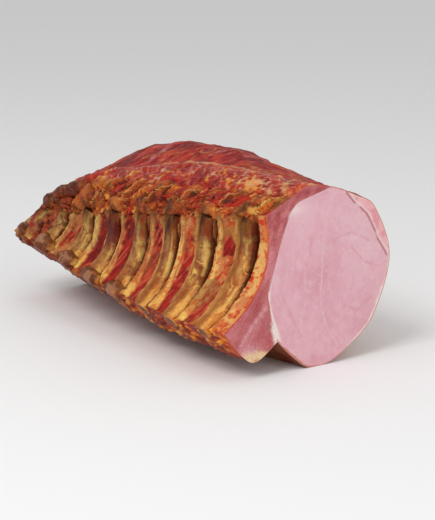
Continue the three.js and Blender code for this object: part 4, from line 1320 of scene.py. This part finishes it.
def build_rib(index):
    v = np.linspace(RIB_TOP_GAP, 1 + RIB_STICK_OUT / WALL_HEIGHT, RIB_STEPS + 1)
    middle, ahead, wide, thick = rib_frame(index, v)
    waist = (RIB_END_WIDTH + (1 - RIB_END_WIDTH) * np.sin(np.pi * np.clip(v, 0, 1)))[:, None]
    turn = np.arange(RIB_SIDES) / RIB_SIDES * 2 * np.pi
    across, outward = squared(np.cos(turn), RIB_SQUARENESS), squared(np.sin(turn), RIB_SQUARENESS)
    grid = middle[:, None] + wide[:, None] * (RIB_HALF_WIDTH * waist * across)[..., None]
    grid = grid + thick[:, None] * (RIB_HALF_THICKNESS * outward)[None, :, None]
    out = grid - middle[:, None]
    out = out / np.maximum(np.linalg.norm(out, axis=-1, keepdims=True), 1e-9)

    side = np.broadcast_to(across, grid.shape[:2])
    v = np.broadcast_to(v[:, None], grid.shape[:2])
    depth = np.broadcast_to(line_reach(middle)[:, None], grid.shape[:2])
    place = flat_place(side * RIB_HALF_WIDTH + 50 * index, depth, 0.5 * outward[None])
    n1 = fbm(place, 9, 161, 3, (1, 1.6, 1))
    n2 = fbm(place, 3, 171, 3, (1, 2, 1))
    stripe = noise(place, 1.1, 141, (1, 14, 1))
    cracks = vein(place, 7, 181, 2, (1, 1.5, 1))
    lift = 0.65 * n1 + 0.3 * n2 + 0.25 * stripe + 0.25 * smooth(0.8, 1, cracks)
    grid = grid + out * (lift * smooth(1.0, 0.96, v))[..., None]

    run = -grid[..., 0]
    color = paint_rib(index, side, v, place, (n1, n2, stripe, cracks)) * fresh(run)
    if index == DEEP_RED_RIB:
        deep = mix(DEEP_RED, DEEPEST_RED, smooth(-0.4, 0.4, n2))
        color = mix(color, deep, bump(v + 0.05 * n2, 0.28, 0.46) * 0.97)
    color, lift = weathered_with_pit_shade(run, depth, color, 0)
    color, lift = lip_lumps(run, depth[-1] - depth, color, lift)
    grid = grid + out * (lift * smooth(1.0, 0.9, v))[..., None]
    rough = np.clip(0.38 + 0.06 * n2 + 0.3 * smooth(0.3, 0.1, v), 0.24, 0.75)

    shell = Shell()
    shell.grid(grid, color, rough, closed=True)
    sawn_end = lambda p: paint_rib_end(p, middle[-1], wide[-1], thick[-1])
    shell.lid(grid[0], middle[0] - ahead[0] * 1.5, HEAD_RINGS, paint_rib_head)
    shell.lid(grid[-1], middle[-1] + ahead[-1] * 0.2, SAWN_RINGS, sawn_end)
    return shell.build(f"rib_bone_{index + 1}", bone)


VERTEBRA_ROWS, VERTEBRA_COLUMNS = 76, 120


def build_vertebra(index):
    """A sawn vertebra: a rounded block that carries the look of the strip it lies in."""
    last = index == RIB_COUNT - 1
    run = FIRST_RIB + RIB_PITCH * index - (LAST_VERTEBRA_FORWARD if last else 0)
    half_length = LAST_VERTEBRA_HALF_LENGTH if last else VERTEBRA_HALF_LENGTH
    low, high = landmark("chine_low", np.array(run)), landmark("chine_high", np.array(run))
    across = high - low
    strip_width = np.linalg.norm(across)
    half_width = strip_width / 2 - VERTEBRA_MARGIN
    proud = VERTEBRA_PROUD_NEAR + (VERTEBRA_PROUD_FAR - VERTEBRA_PROUD_NEAR) * index / (RIB_COUNT - 1)
    middle = low + across * VERTEBRA_PLACE
    across = across / strip_width
    outward = np.array([-across[1], across[0]])
    middle = middle + outward * (proud - VERTEBRA_HALF_THICKNESS)

    polar = np.linspace(0, np.pi, VERTEBRA_ROWS + 1)[:, None]
    turn = (np.arange(VERTEBRA_COLUMNS) / VERTEBRA_COLUMNS * 2 * np.pi)[None]
    reach = run - squared(np.sin(polar) * np.cos(turn), VERTEBRA_SQUARENESS) * half_length
    wide = squared(np.sin(polar) * np.sin(turn), VERTEBRA_SQUARENESS) * half_width
    tall = squared(np.cos(polar) + 0 * turn, VERTEBRA_SQUARENESS) * VERTEBRA_HALF_THICKNESS
    upper = smooth(-0.2, 0.5, np.cos(polar) + 0 * turn)
    rise, color, gloss = chine_look(reach, wide + (VERTEBRA_PLACE - 0.5) * strip_width)
    tall = tall + rise * upper * smooth(0, 4, reach)
    place = middle + across * wide[..., None] + outward * tall[..., None]
    points = np.concatenate([(-reach)[..., None], place], axis=-1)
    shell = Shell()
    shell.grid(points, color, gloss, closed=True)
    return shell.build(f"vertebra_bone_{index + 1}", bone, 80)


# ---- build ----------------------------------------------------------------------------
smoked_meat = meat_material(
    "smoked_meat", grain_size=0.9, grain_depth=0.35, fibre=(1.5, 1, 1), tint=0.18, soft=0.02, gloss=0.12
)
cut_meat = meat_material(
    "cut_meat", grain_size=0.8, grain_depth=0.10, fibre=(1, 1, 1), tint=0.04, soft=0.10, gloss=0.3
)
bone = meat_material(
    "bone", grain_size=0.8, grain_depth=0.22, fibre=(1, 1, 1.5), tint=0.20, soft=0.02, gloss=0.14
)


def enter(piece, node):
    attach(piece, "root")
    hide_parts(node)


eye_runs = np.linspace(0, LOIN_LENGTH, EYE_ROWS + 1)
rib_side = build_rib_meat()
surface = eye_surface(eye_runs)
eye = build_eye(eye_runs, *surface)
cap = build_cap(*surface)
enter(rib_side, "rib_meat")
enter(eye, "loin_eye")
enter(cap, "cap_muscle")
for i in range(RIB_COUNT):
    enter(build_rib(i), f"rib_{i + 1}")
    enter(build_vertebra(i), f"vertebra_{i + 1}")


# ---- stage, light and camera ----------------------------------------------------------
def plain_material(name, color, roughness):
    material = bpy.data.materials.new(name)
    material.use_nodes = True
    shader = material.node_tree.nodes["Principled BSDF"]
    shader.inputs["Base Color"].default_value = (*color, 1)
    shader.inputs["Roughness"].default_value = roughness
    return material


FLOOR_HALF = 4.0
WORLD_STRENGTH = 0.62
CLIP_START = 0.01


def build_floor():
    half = FLOOR_HALF
    mesh = bpy.data.meshes.new("floor")
    corners = [(-half, -half, 0), (half, -half, 0), (half, half, 0), (-half, half, 0)]
    mesh.from_pydata(corners, [], [(0, 1, 2, 3)])
    mesh.materials.append(plain_material("pale_floor", (0.9, 0.9, 0.9), 0.9))
    floor = bpy.data.objects.new("floor", mesh)
    bpy.context.scene.collection.objects.link(floor)


def area_light(name, place, aim, size, power):
    data = bpy.data.lights.new(name, "AREA")
    data.size = size
    data.energy = power
    lamp = bpy.data.objects.new(name, data)
    lamp.location = place
    lamp.rotation_euler = (Vector(aim) - Vector(place)).to_track_quat("-Z", "Y").to_euler()
    bpy.context.scene.collection.objects.link(lamp)


CAMERA_TURN = 56.0        # degrees round the loin from its rib side towards the cut face
CAMERA_RISE = 13.0
CAMERA_AIM = Vector((0.0733, -0.0292, 0.0535))
CAMERA_DISTANCE = 0.745
CAMERA_LENS = 100.4


def build_camera():
    turn, rise = math.radians(CAMERA_TURN), math.radians(CAMERA_RISE)
    back = Vector((math.sin(turn) * math.cos(rise), -math.cos(turn) * math.cos(rise), math.sin(rise)))
    data = bpy.data.cameras.new("camera")
    data.lens = CAMERA_LENS
    data.clip_start = CLIP_START
    camera = bpy.data.objects.new("camera", data)
    camera.location = CAMERA_AIM + back * CAMERA_DISTANCE
    camera.rotation_euler = (-back).to_track_quat("-Z", "Y").to_euler()
    bpy.context.scene.collection.objects.link(camera)
    bpy.context.scene.camera = camera


def build_light():
    world = bpy.data.worlds.new("studio")
    world.use_nodes = True
    backdrop = world.node_tree.nodes["Background"]
    backdrop.inputs["Color"].default_value = (1, 1, 1, 1)
    backdrop.inputs["Strength"].default_value = WORLD_STRENGTH
    bpy.context.scene.world = world
    area_light("key", place=(0.35, -0.9, 1.1), aim=(0, 0, 0.05), size=0.6, power=8)
    area_light("side", place=(1.2, -0.1, 0.5), aim=(0.05, 0, 0.05), size=0.6, power=2.2)
    bpy.context.scene.view_settings.view_transform = "Standard"


build_floor()
build_camera()
build_light()
